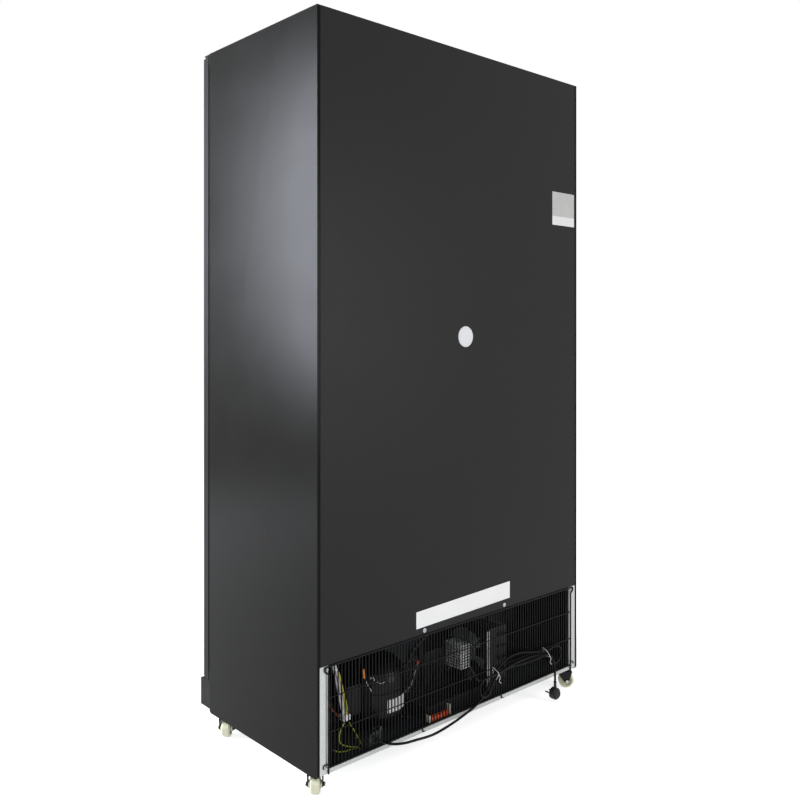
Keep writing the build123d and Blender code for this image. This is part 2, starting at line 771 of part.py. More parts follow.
def grille_frame_wires():
    """The heavy wires: two sides bowed out round the screws, which turn in to meet the top wire."""
    corner = GRILLE_SIDE + GRILLE_EAR
    joint = corner - 2 * GRILLE_EAR_RADIUS
    side_path = (
        (GRILLE_SIDE, Y_WIRE, Z_FLOOR),
        (GRILLE_SIDE, Y_WIRE, Z_GRILLE_TOP - GRILLE_EAR_DROP - GRILLE_EAR_SLOPE),
        (corner, Y_WIRE, Z_GRILLE_TOP - GRILLE_EAR_DROP),
        (corner, Y_WIRE, Z_GRILLE_TOP),
        (joint, Y_WIRE, Z_GRILLE_TOP),
    )
    side_wire = tube(side_path, GRILLE_FRAME_WIRE, FRAME_WIRE_SIDES, [GRILLE_EAR_RADIUS] * 3)
    inner = GRILLE_SIDE - GRILLE_FRAME_WIRE / 2
    top_wire = straight_wire(joint, Y_WIRE, Z_GRILLE_TOP, GRILLE_FRAME_WIRE, FRAME_WIRE_SIDES)
    low_wire = straight_wire(inner, Y_WIRE, Z_GRILLE_BOTTOM, GRILLE_FRAME_WIRE, FRAME_WIRE_SIDES)
    return [side_wire, mirrored(side_wire), top_wire, low_wire]


def grille_hook(side):
    """The short wire that curls over the low screw onto the corner post."""
    start = side * (GRILLE_SIDE + GRILLE_FRAME_WIRE / 2)
    reach = side * (GRILLE_SIDE + GRILLE_HOOK_REACH)
    crown = Z_GRILLE_BOTTOM + GRILLE_HOOK_RISE
    y = Y_SHEET + GRILLE_RAIL_WIRE / 2
    path = ((start, y, crown), (reach, y, crown), (reach, y, crown - GRILLE_HOOK_DROP))
    return tube(path, GRILLE_RAIL_WIRE, TIE_SIDES, [GRILLE_EAR_RADIUS])


def grille_foot(x):
    """A short wire that hooks the guard over the pan's rear flange."""
    y = Y_SHEET + GRILLE_RAIL_WIRE / 2
    top = Z_GRILLE_BOTTOM - GRILLE_FRAME_WIRE / 2
    low = Z_FLOOR + GRILLE_RAIL_WIRE
    path = ((x, y, top), (x, y, low), (x - GRILLE_FOOT_TURN, y, low))
    return tube(path, GRILLE_RAIL_WIRE, TIE_SIDES, [GRILLE_RAIL_WIRE])


def rear_grille():
    """The black wire guard over the machine room."""
    inner_side = GRILLE_SIDE - GRILLE_FRAME_WIRE / 2
    rail_y = Y_SHEET + GRILLE_RAIL_WIRE / 2
    pieces = [grille_ladder(), *grille_frame_wires()]
    for height in GRILLE_RAIL_HEIGHTS:
        pieces.append(straight_wire(inner_side, rail_y, height, GRILLE_RAIL_WIRE, WIRE_SIDES))
    for side in (-1, 1):
        pieces.append(grille_hook(side))
    for place in GRILLE_FOOT_PLACES:
        pieces.append(grille_foot(place))
    return group(pieces)


def screw(x, z, seat, base, stand):
    """A dome screw head on the rear of the cabinet; its base is a collar or a washer."""
    radius = SCREW_HEAD / 2
    profile = (
        (0, seat),
        (base / 2, seat),
        (base / 2, seat + stand),
        (radius, seat + stand + SCREW_HEAD_RISE / 3),
        (radius / 2, seat + stand + SCREW_HEAD_RISE),
        (0, seat + stand + SCREW_HEAD_RISE),
    )
    return turned(profile, SMALL_SIDES, (x, 0, z), (0, 1, 0))


def rear_screws():
    """Two screws at each corner post and two on washers at the foot of the back panel."""
    screws = []
    for side in (-1, 1):
        high_x = side * (GRILLE_SIDE + SCREW_SIDE_SHIFT)
        high_z = Z_GRILLE_TOP - SCREW_TOP_DROP
        screws.append(screw(high_x, high_z, Y_SHEET - POST_STEP, SCREW_HEAD, POST_STEP))
        low_x = side * (GRILLE_SIDE + GRILLE_FRAME_WIRE / 2 + SCREW_HEAD / 2 + SEAT_GAP)
        screws.append(screw(low_x, Z_PAN + SCREW_LOW_RISE, Y_SHEET, SCREW_HEAD, WASHER_THICKNESS))
    for place in PANEL_SCREW_PLACES:
        z = Z_MACHINE_CEILING + PANEL_SCREW_RISE
        screws.append(screw(place, z, Y_BACK, WASHER_DIAMETER, WASHER_THICKNESS))
    return group(screws)


# Plinth grille


def plinth_grille():
    """The hollow kick plate under the doors, with rows of air slots."""
    bottom = Z_BASE + PLINTH_BOTTOM_GAP
    top = Z_LOW_CEILING + PLINTH_WALL / 3
    plinth = block(-HALF_WIDTH, HALF_WIDTH, Y_PLINTH, Y_FRONT, bottom, top)
    plinth -= block(
        -HALF_WIDTH + PLINTH_WALL,
        HALF_WIDTH - PLINTH_WALL,
        Y_PLINTH + PLINTH_WALL,
        Y_FRONT,
        bottom + PLINTH_WALL,
        top - PLINTH_WALL,
    )
    column_pitch = (CABINET_WIDTH - 2 * PLINTH_SLOT_MARGIN) / PLINTH_SLOT_COLUMNS
    slot = Pos(0, Y_PLINTH + PLINTH_WALL / 2, (bottom + top) / 2) * Box(
        column_pitch - PLINTH_SLOT_BRIDGE, PLINTH_WALL, PLINTH_SLOT_HEIGHT
    )
    places = GridLocations(column_pitch, PLINTH_SLOT_PITCH, PLINTH_SLOT_COLUMNS, PLINTH_SLOT_ROWS)
    slots = [Pos(place.position.X, 0, place.position.Y) * slot for place in places]
    return plinth - group(slots)


# Doors, modelled on the +X side


def door_opening(grow, y0, y1):
    """A block through the door's opening, grown on every edge."""
    return block(
        DOOR_GAP + DOOR_STILE - grow,
        HALF_WIDTH - DOOR_STILE + grow,
        y0,
        y1,
        Z_DOOR_BOTTOM + DOOR_STILE - grow,
        Z_DOOR_TOP - DOOR_STILE + grow,
    )


def pane_depths():
    """The front and rear limits of the front pane and of the rear pane."""
    front = Y_DOOR_FRONT + GLASS_FRONT_LIP
    rear = front + GLASS_THICKNESS + GLASS_SPACER
    return ((front, front + GLASS_THICKNESS), (rear, rear + GLASS_THICKNESS))


def door_frame():
    """The aluminium door frame with its grip, glass grooves and hinge bores."""
    rear = block(DOOR_GAP, HALF_WIDTH, Y_DOOR_MIDDLE, Y_DOOR_BACK, Z_DOOR_BOTTOM, Z_DOOR_TOP)
    upright_edges = rear.edges().filter_by(Axis.Z).group_by(Axis.Y)[-1]
    rear = fillet(upright_edges, DOOR_CORNER_RADIUS)
    front = block(
        DOOR_GAP + DOOR_EDGE_STEP,
        HALF_WIDTH - DOOR_EDGE_STEP,
        Y_DOOR_FRONT,
        Y_DOOR_MIDDLE,
        Z_DOOR_BOTTOM + DOOR_EDGE_STEP,
        Z_DOOR_TOP - DOOR_EDGE_STEP,
    )
    frame = rear + front - door_opening(0, Y_DOOR_FRONT, Y_DOOR_BACK)
    for pane_front, pane_rear in pane_depths():
        frame -= door_opening(GLASS_COVER + SEAT_GAP, pane_front, pane_rear)
    frame -= door_grip()
    depth = HINGE_PIN_LENGTH + HINGE_LEAF_GAP
    bore = HINGE_PIN + 2 * HINGE_PIN_CLEARANCE
    frame -= rod((X_HINGE, Y_HINGE, Z_DOOR_BOTTOM), (X_HINGE, Y_HINGE, Z_DOOR_BOTTOM + depth), bore)
    frame -= rod((X_HINGE, Y_HINGE, Z_DOOR_TOP - depth), (X_HINGE, Y_HINGE, Z_DOOR_TOP), bore)
    return frame


def door_grip():
    """The recess in the inner stile, undercut behind a lip for the fingers."""
    lip_x = DOOR_GAP + DOOR_EDGE_STEP + GRIP_INSET
    z0 = GRIP_HEIGHT - GRIP_LENGTH / 2
    z1 = GRIP_HEIGHT + GRIP_LENGTH / 2
    back = Y_DOOR_FRONT + GRIP_DEPTH
    mouth = block(lip_x, lip_x + GRIP_WIDTH, Y_DOOR_FRONT, back, z0, z1)
    return mouth + block(lip_x - GRIP_LIP, lip_x, Y_DOOR_FRONT + GRIP_LIP, back, z0, z1)


def door_glass():
    """The two panes of the sealed unit."""
    return group([door_opening(GLASS_COVER, front, rear) for front, rear in pane_depths()])


def door_gasket():
    """The magnetic gasket: a flat base with a narrower lip that closes on the front frame."""
    x0 = DOOR_GAP + GASKET_INNER_INSET
    x1 = HALF_WIDTH - GASKET_INSET
    z0 = Z_DOOR_BOTTOM + GASKET_END_INSET
    z1 = Z_DOOR_TOP - GASKET_END_INSET
    base = ring_plate(x0, x1, Y_DOOR_BACK, Y_DOOR_BACK + GASKET_BASE, z0, z1, GASKET_WIDTH)
    edge = (GASKET_WIDTH - GASKET_LIP) / 2
    lip = ring_plate(
        x0 + edge,
        x1 - edge,
        Y_DOOR_BACK + GASKET_BASE,
        Y_FRONT - SEAT_GAP,
        z0 + edge,
        z1 - edge,
        GASKET_LIP,
    )
    return base + lip


def hinge(leaf_bottom, plate_bottom, pin_bottom):
    """A leaf on an upright plate, with a pin for the door."""
    plate = block(
        HALF_WIDTH - HINGE_PLATE_WIDTH,
        HALF_WIDTH,
        Y_FRONT - HINGE_PLATE,
        Y_FRONT,
        plate_bottom,
        plate_bottom + HINGE_PLATE_HEIGHT,
    )
    leaf = block(
        HALF_WIDTH - 2 * HINGE_INSET,
        HALF_WIDTH,
        Y_HINGE - HINGE_INSET,
        Y_FRONT,
        leaf_bottom,
        leaf_bottom + HINGE_LEAF,
    )
    leaf = chamfer(leaf.edges().filter_by(Axis.Z).group_by(Axis.Y)[0], HINGE_LEAF_CORNER)
    leaf -= block(
        HALF_WIDTH - 2 * HINGE_INSET,
        HALF_WIDTH - HINGE_PLATE_WIDTH,
        Y_FRONT - HINGE_PLATE - SEAT_GAP,
        Y_FRONT,
        leaf_bottom,
        leaf_bottom + HINGE_LEAF,
    )
    pin = rod((X_HINGE, Y_HINGE, pin_bottom), (X_HINGE, Y_HINGE, pin_bottom + HINGE_PIN_LENGTH), HINGE_PIN)
    return plate + leaf + pin


def door_hinges():
    """Upper and lower hinges on both sides."""
    low_leaf = Z_DOOR_BOTTOM - HINGE_LEAF_GAP - HINGE_LEAF
    high_leaf = Z_DOOR_TOP + HINGE_LEAF_GAP
    low = hinge(low_leaf, low_leaf, low_leaf + HINGE_LEAF)
    high = hinge(high_leaf, high_leaf + HINGE_LEAF - HINGE_PLATE_HEIGHT, high_leaf - HINGE_PIN_LENGTH)
    return group([low, high, mirrored(low), mirrored(high)])


# Castors, each modelled on the floor with its swivel axis at the origin, trailing towards +X


def castor_wheel():
    """A plastic wheel with a recessed web and a long hub."""
    bore = AXLE_DIAMETER + 2 * AXLE_CLEARANCE
    hub = WHEEL_HUB / 2
    hub_half = FORK_WIDTH / 2 - FORK_THICKNESS - SEAT_GAP
    web = WHEEL_WEB / 2
    half = WHEEL_WIDTH / 2
    radius = WHEEL_DIAMETER / 2
    rim = radius - WHEEL_RIM_DEPTH
    outer = (
        (hub, hub_half),
        (hub, web),
        (rim, web),
        (rim, half),
        (radius - WHEEL_CHAMFER, half),
        (radius, half - WHEEL_CHAMFER),
    )
    lower = [(r, -y) for r, y in reversed(outer)]
    profile = ((0, hub_half), *outer, *lower, (0, -hub_half))
    wheel = turned(profile, ROUND_SIDES, (FORK_TRAIL, 0, Z_AXLE), (0, 1, 0))
    return wheel - rod((FORK_TRAIL, -hub_half, Z_AXLE), (FORK_TRAIL, hub_half, Z_AXLE), bore)


def castor_fork():
    """A pressed fork: a top plate, two tapering arms and the riveted axle."""
    top_bottom = Z_FORK_TOP - FORK_THICKNESS
    nose = FORK_TRAIL + FORK_NOSE
    half = FORK_WIDTH / 2
    plate = block(-FORK_REAR, nose, -half, half, top_bottom, Z_FORK_TOP)
    plate = chamfer(plate.edges().filter_by(Axis.Z).group_by(Axis.X)[0], FORK_CORNER)
    plate -= rod((0, 0, top_bottom), (0, 0, Z_FORK_TOP), KINGPIN_DIAMETER + 2 * KINGPIN_CLEARANCE)
    boss = Pos(FORK_TRAIL, Z_AXLE) * RegularPolygon(FORK_BOSS_RADIUS, SMALL_SIDES)
    shoulder = Edge.make_line((-FORK_ARM_REAR, Z_FORK_TOP), (nose, Z_FORK_TOP))
    outline = make_hull([*boss.edges(), shoulder])
    fork = plate
    for side in (-1, 1):
        arm_plane = Plane.XZ.offset(-side * (half - FORK_THICKNESS / 2) - FORK_THICKNESS / 2)
        fork += extrude(arm_plane * outline, FORK_THICKNESS)
    head_end = half + AXLE_HEAD_HEIGHT
    fork += rod((FORK_TRAIL, -half, Z_AXLE), (FORK_TRAIL, half, Z_AXLE), AXLE_DIAMETER)
    for side in (-1, 1):
        end = Plane(origin=(FORK_TRAIL, side * half, Z_AXLE), z_dir=(0, side, 0))
        fork += extrude(end * RegularPolygon(AXLE_HEAD / 2, 6), head_end - half)
    return fork


def castor_plate():
    """The fixed plate with its bearing race and the kingpin that the fork turns on."""
    half = CASTOR_PLATE_SIZE / 2
    plate_bottom = Z_PAN - CASTOR_PLATE
    plate = block(-half, half, -half, half, plate_bottom, Z_PAN)
    race_bottom = Z_FORK_TOP + SWIVEL_GAP
    race = SWIVEL_RACE_DIAMETER / 2
    head_top = Z_FORK_TOP - FORK_THICKNESS - SWIVEL_GAP
    profile = (
        (0, plate_bottom),
        (race, plate_bottom),
        (race * 0.8, race_bottom),
        (KINGPIN_DIAMETER / 2, race_bottom),
        (KINGPIN_DIAMETER / 2, head_top),
        (KINGPIN_HEAD / 2, head_top),
        (KINGPIN_HEAD / 2, head_top - KINGPIN_HEAD_HEIGHT),
        (0, head_top - KINGPIN_HEAD_HEIGHT),
    )
    return plate + turned(profile, SMALL_SIDES)


def castor_place(side, end, inset, heading):
    """Where one castor stands and which way it trails."""
    y = Y_FRONT + inset if end == "front" else Y_BACK - inset
    return Pos(side * (HALF_WIDTH - CASTOR_SIDE_INSET), y, 0) * Rot(0, 0, heading)


# Machine room


def compressor_shell():
    """The welded steel shell: a bowl, a straight wall with the weld seam, and a dome."""
    wall_bottom = Z_COMPRESSOR + COMPRESSOR_BOWL
    wall_top = Z_COMPRESSOR + COMPRESSOR_HEIGHT - COMPRESSOR_DOME
    seam_bottom = Z_COMPRESSOR + COMPRESSOR_SEAM_HEIGHT
    seam_top = seam_bottom + COMPRESSOR_SEAM
    seam = COMPRESSOR_RADIUS + COMPRESSOR_SEAM
    flat = COMPRESSOR_RADIUS - COMPRESSOR_BOWL
    bends = [radians(90 * step / COMPRESSOR_BANDS) for step in range(COMPRESSOR_BANDS + 1)]
    bowl = [
        (flat + COMPRESSOR_BOWL * sin(bend), wall_bottom - COMPRESSOR_BOWL * cos(bend)) for bend in bends
    ]
    dome = [(COMPRESSOR_RADIUS * cos(bend), wall_top + COMPRESSOR_DOME * sin(bend)) for bend in bends[:-1]]
    profile = (
        (0, Z_COMPRESSOR),
        *bowl,
        (COMPRESSOR_RADIUS, seam_bottom),
        (seam, seam_bottom),
        (seam, seam_top),
        (COMPRESSOR_RADIUS, seam_top),
        *dome,
        (0, wall_top + COMPRESSOR_DOME),
    )
    return turned(profile, LARGE_SIDES, (COMPRESSOR_X, Y_COMPRESSOR, 0))


def grommet_places():
    """The four rubber feet under the base plate."""
    spread_x, spread_y = GROMMET_SPACING
    return [
        (COMPRESSOR_X + side * spread_x / 2, Y_COMPRESSOR + end * spread_y / 2)
        for side in (-1, 1)
        for end in (-1, 1)
    ]


def compressor():
    """The hermetic compressor with its weld seam, base plate and hold-down bolts."""
    body = compressor_shell()
    width, depth = COMPRESSOR_BASE_PLATE
    plate = block(
        COMPRESSOR_X - width / 2,
        COMPRESSOR_X + width / 2,
        Y_COMPRESSOR - depth / 2,
        Y_COMPRESSOR + depth / 2,
        Z_COMPRESSOR - COMPRESSOR_BASE_THICKNESS,
        Z_COMPRESSOR + SEAT_GAP,
    )
    body += plate
    for x, y in grommet_places():
        body += tube(((x, y, Z_COMPRESSOR), (x, y, Z_COMPRESSOR + GROMMET_BOLT)), GROMMET_BOLT, SMALL_SIDES)
    return body


def compressor_feet():
    """Four waisted rubber grommets between the pan and the base plate."""
    radius = GROMMET_DIAMETER / 2
    waist = GROMMET_WAIST / 2
    top = Z_COMPRESSOR - COMPRESSOR_BASE_THICKNESS
    height = top - Z_FLOOR
    profile = (
        (0, Z_FLOOR),
        (radius, Z_FLOOR),
        (radius, Z_FLOOR + height / 4),
        (waist, Z_FLOOR + height / 2),
        (radius, top - height / 4),
        (radius, top),
        (0, top),
    )
    return group([turned(profile, SMALL_SIDES, (x, y, 0)) for x, y in grommet_places()])


def compressor_terminal_cover():
    """The plastic cover over the compressor's terminals, shaped to the shell."""
    width, depth, height = TERMINAL_COVER
    x1 = COMPRESSOR_X + COMPRESSOR_RADIUS + width
    z0 = Z_FLOOR + TERMINAL_COVER_HEIGHT
    cover = block(
        COMPRESSOR_X + COMPRESSOR_RADIUS - width / 2,
        x1,
        Y_COMPRESSOR - depth / 2,
        Y_COMPRESSOR + depth / 2,
        z0,
        z0 + height,
    )
    cover = fillet(cover.edges().filter_by(Axis.Z).group_by(Axis.X)[-1], TERMINAL_COVER_RADIUS)
    seam = rod(
        (COMPRESSOR_X, Y_COMPRESSOR, z0 - height),
        (COMPRESSOR_X, Y_COMPRESSOR, z0 + 2 * height),
        2 * (COMPRESSOR_RADIUS + COMPRESSOR_SEAM + SEAT_GAP),
    )
    return cover - seam


def coil_fins(x0, x1, y0, y1, z0, z1, pitch, thickness, spine):
    """A stack of fins across Y, tied by a spine in the middle of their width."""
    count = int((y1 - y0 - thickness) / pitch)
    stack_end = y0 + count * pitch + thickness
    fins = block(x0, x1, y0, stack_end, z0, z1)
    middle = (x0 + x1) / 2
    gaps = []
    for place in range(count):
        gap_start = y0 + place * pitch + thickness
        gap_end = y0 + (place + 1) * pitch
        gaps.append(block(x0, middle - spine / 2, gap_start, gap_end, z0, z1))
        gaps.append(block(middle + spine / 2, x1, gap_start, gap_end, z0, z1))
    fins -= group(gaps)
    if stack_end < y1:
        fins += block(x0, x1, stack_end, y1, z0, z1)
    return fins


def condenser_coil():
    """The finned condenser block between two end plates, with its return bends."""
    x0, x1 = COIL_X
    top = Z_COIL + COIL_HEIGHT
    coil = coil_fins(
        x0, x1, Y_COIL_FRONT, Y_COIL_BACK, Z_COIL, top, COIL_FIN_PITCH, COIL_FIN_THICKNESS, COIL_SPINE
    )
    for y0 in (Y_COIL_FRONT - COIL_END_PLATE, Y_COIL_BACK):
        coil += block(x0, X_SHROUD - SHROUD_SHEET, y0, y0 + COIL_END_PLATE, Z_FLOOR, top + COIL_END_PLATE)
    middle = (x0 + x1) / 2
    half = COIL_BEND_SPREAD / 2
    y_end = Y_COIL_BACK + COIL_END_PLATE
    bends = []
    for row in range(COIL_TUBE_ROWS):
        z = Z_FAN + (row - (COIL_TUBE_ROWS - 1) / 2) * COIL_TUBE_PITCH
        path = Polyline(
            (middle - half, y_end, z),
            (middle - half, y_end + half / 2, z),
            (middle - half / 2, y_end + half, z),
            (middle + half / 2, y_end + half, z),
            (middle + half, y_end + half / 2, z),
            (middle + half, y_end, z),
        )
        section = Plane(origin=path @ 0, z_dir=path % 0) * RegularPolygon(COIL_TUBE / 2, WIRE_SIDES)
        bends.append(sweep(section, path=path, transition=Transition.RIGHT))
    return group([coil, *bends])


def fan_shroud():
    """The folded duct between the condenser and the fan, with its collar."""
    top = Z_COIL + COIL_HEIGHT
    face = block(X_SHROUD - SHROUD_SHEET, X_SHROUD, Y_COIL_FRONT, Y_COIL_BACK, Z_FLOOR, top + SHROUD_SHEET)
    roof = block(COIL_X[1], X_SHROUD, Y_COIL_FRONT, Y_COIL_BACK, top, top + SHROUD_SHEET)
    floor_edge = block(COIL_X[1], X_SHROUD, Y_COIL_FRONT, Y_COIL_BACK, Z_FLOOR, Z_FLOOR + SHROUD_SHEET)
    collar_end = X_SHROUD + SHROUD_COLLAR
    collar_path = ((X_SHROUD, Y_FAN, Z_FAN), (collar_end, Y_FAN, Z_FAN))
    bore_path = ((X_SHROUD - SHROUD_SHEET, Y_FAN, Z_FAN), (collar_end, Y_FAN, Z_FAN))
    duct = face + roof + floor_edge + tube(collar_path, SHROUD_HOLE + 2 * SHROUD_SHEET, LARGE_SIDES)
    return duct - tube(bore_path, SHROUD_HOLE, LARGE_SIDES)


def fan_rotor(radius, hub_diameter, depth):
    """A bladed rotor about Z, standing on the origin's plane, with a bore for its shaft."""
    root = hub_diameter / 2 - FAN_BLADE_THICKNESS
    root_half = hub_diameter / 5
    tips = [
        (radius * cos(radians(share * FAN_BLADE_SWEEP)), radius * sin(radians(share * FAN_BLADE_SWEEP)))
        for share in (1, 0.5, 0, -0.5, -1)
    ]
    petal = make_face(Polyline((root, root_half), *tips, (root, -root_half), close=True))
    blade = extrude(petal, FAN_BLADE_THICKNESS / 2, both=True)
    blade = Pos(0, 0, depth / 2) * Rot(FAN_BLADE_PITCH, 0, 0) * blade
    rotor = tube(((0, 0, 0), (0, 0, depth)), hub_diameter, ROUND_SIDES)
    for place in range(FAN_BLADES):
        rotor += Rot(0, 0, place * 360 / FAN_BLADES) * blade
    bore = FAN_SHAFT + 2 * FAN_SHAFT_CLEARANCE
    return rotor - Cylinder(bore / 2, 3 * depth)


def condenser_fan():
    """The fan that draws air through the condenser."""
    return Plane(origin=(X_SHROUD, Y_FAN, Z_FAN), z_dir=(-1, 0, 0)) * fan_rotor(
        FAN_RADIUS, FAN_HUB, FAN_HUB_DEPTH
    )


def condenser_fan_motor():
    """The fan's motor, its shaft and the four arms that carry it on the shroud."""
    x0 = X_SHROUD + SHROUD_COLLAR + FAN_MOTOR_GAP
    x1 = x0 + FAN_MOTOR_LENGTH
    radius = FAN_MOTOR_DIAMETER / 2
    profile = ((0, x0), (radius, x0), (radius, x1 - FAN_ARM), (radius - FAN_ARM, x1), (0, x1))
    body = turned(profile, ROUND_SIDES, (0, Y_FAN, Z_FAN), (1, 0, 0))
    body += rod((X_SHROUD - FAN_HUB_DEPTH, Y_FAN, Z_FAN), (x0, Y_FAN, Z_FAN), FAN_SHAFT)
    foot_radius = SHROUD_HOLE / 2 + SHROUD_SHEET + FAN_ARM
    half = FAN_ARM / 2
    arm = block(x0, x0 + FAN_ARM, 0, foot_radius, -half, half)
    arm += block(X_SHROUD, x0 + FAN_ARM, foot_radius - half, foot_radius + half, -half, half)
    for quarter in range(4):
        body += Pos(0, Y_FAN, Z_FAN) * Rot(45 + 90 * quarter, 0, 0) * arm
    return body


def drip_tray():
    """The open tray that collects defrost water."""
    x0, x1 = TRAY_X
    y1 = Y_BACK - TRAY_BACK_GAP
    tray = block(x0, x1, y1 - TRAY_DEPTH, y1, Z_FLOOR, Z_FLOOR + TRAY_HEIGHT)
    tray = chamfer(tray.edges().filter_by(Axis.Z), TRAY_CORNER)
    hollow = block(
        x0 + TRAY_WALL,
        x1 - TRAY_WALL,
        y1 - TRAY_DEPTH + TRAY_WALL,
        y1 - TRAY_WALL,
        Z_FLOOR + TRAY_WALL,
        Z_FLOOR + TRAY_HEIGHT,
    )
    hollow = chamfer(hollow.edges().filter_by(Axis.Z), TRAY_CORNER - TRAY_WALL / 2)
    return tray - hollow


def junction_box():
    """The small closed wiring box behind the guard, with its lid line."""
    x0, x1 = JUNCTION_X
    y1 = Y_BACK - JUNCTION_BACK_GAP
    box = block(x0, x1, y1 - JUNCTION_DEPTH, y1, Z_FLOOR, Z_FLOOR + JUNCTION_HEIGHT)
    return fillet(box.edges().filter_by(Axis.Y), JUNCTION_RADIUS)


def cord_gland():
    """The bush in the ear that the mains cord comes out of."""
    stem = GLAND_STEM / 2
    inner = Y_EAR - EAR_THICKNESS - SEAT_GAP
    end = Y_EAR + GLAND_NOSE
    shoulder = GLAND_FLANGE / 2 - GLAND_SHOULDER
    profile = (
        (0, inner - GLAND_NOSE),
        (shoulder, inner - GLAND_NOSE),
        (shoulder, inner),
        (stem, inner),
        (stem, Y_EAR),
        (GLAND_FLANGE / 2, Y_EAR),
        (GLAND_FLANGE / 2, Y_EAR + GLAND_NOSE / 2),
        (CORD / 2 + GLAND_MOUTH, end),
        (0, end),
    )
    return turned(profile, ROUND_SIDES, (GLAND_X, 0, GLAND_HEIGHT), (0, 1, 0))


def shell_point(angle, z, gap):
    """A point just off the compressor's straight wall, at an angle round it."""
    radius = COMPRESSOR_RADIUS + gap
    return (
        COMPRESSOR_X + radius * cos(radians(angle)),
        Y_COMPRESSOR + radius * sin(radians(angle)),
        z,
    )


def refrigerant_pipes():
    """Discharge, suction, service and liquid pipes, with the filter dryer."""
    coil_middle = sum(COIL_X) / 2
    coil_top = Z_COIL + COIL_HEIGHT
    ceiling = Z_MACHINE_CEILING - SHEET
    wall_z = Z_COMPRESSOR + COMPRESSOR_BOWL
    discharge_start = shell_point(180, wall_z + 84, SEAT_GAP)
    discharge = (
        discharge_start,
        (discharge_start[0] - 40, Y_COMPRESSOR, wall_z + 84),
        (discharge_start[0] - 55, Y_COMPRESSOR + 10, wall_z + 130),
        (20, Y_COMPRESSOR + 20, ceiling - 45),
        (-60, Y_COMPRESSOR + 30, ceiling - 38),
        (-150, Y_COMPRESSOR + 30, ceiling - 38),
        (coil_middle, Y_COMPRESSOR + 30, ceiling - 46),
        (coil_middle, Y_COMPRESSOR + 30, coil_top + SEAT_GAP),
    )
    suction_x, suction_y, suction_z = shell_point(220, wall_z + 70, SEAT_GAP)
    suction = (
        (suction_x, suction_y, suction_z),
        shell_point(220, suction_z, 32),
        (suction_x - 44, suction_y - 26, suction_z + 40),
        (suction_x - 44, suction_y - 26, ceiling - SEAT_GAP),
    )
    service_x, service_y, service_z = shell_point(160, wall_z + 22, SEAT_GAP)
    service = (
        (service_x, service_y, service_z),
        shell_point(160, service_z, 20),
        (service_x - 34, service_y + 8, service_z + 26),
        (service_x - 58, service_y + 8, service_z + 76),
    )
    dryer_x = X_SHROUD + SHROUD_COLLAR + FAN_MOTOR_LENGTH + 60
    dryer_y = Y_COIL_FRONT
    dryer_z = Z_FLOOR + 70
    liquid = (
        (dryer_x, dryer_y, Z_FLOOR + SEAT_GAP),
        (dryer_x, dryer_y, dryer_z),
    )
    capillary = (
        (dryer_x, dryer_y, dryer_z + DRYER_LENGTH),
        (dryer_x, dryer_y, dryer_z + DRYER_LENGTH + 40),
        (dryer_x + 40, dryer_y - 8, dryer_z + DRYER_LENGTH + 70),
        (dryer_x + 40, dryer_y - 8, ceiling - SEAT_GAP),
    )
    radius = DRYER_DIAMETER / 2
    dryer = turned(
        (
            (0, 0),
            (CAPILLARY / 2, 0),
            (radius, radius),
            (radius, DRYER_LENGTH - radius),
            (CAPILLARY / 2, DRYER_LENGTH),
            (0, DRYER_LENGTH),
        ),
        SMALL_SIDES,
        (dryer_x, dryer_y, dryer_z),
    )
    return group(
        [
            tube(discharge, PIPE, WIRE_SIDES),
            tube(suction, PIPE, WIRE_SIDES),
            tube(service, PIPE, WIRE_SIDES),
            tube(liquid, CAPILLARY, TIE_SIDES),
            tube(capillary, CAPILLARY, TIE_SIDES),
            dryer,
        ]
    )


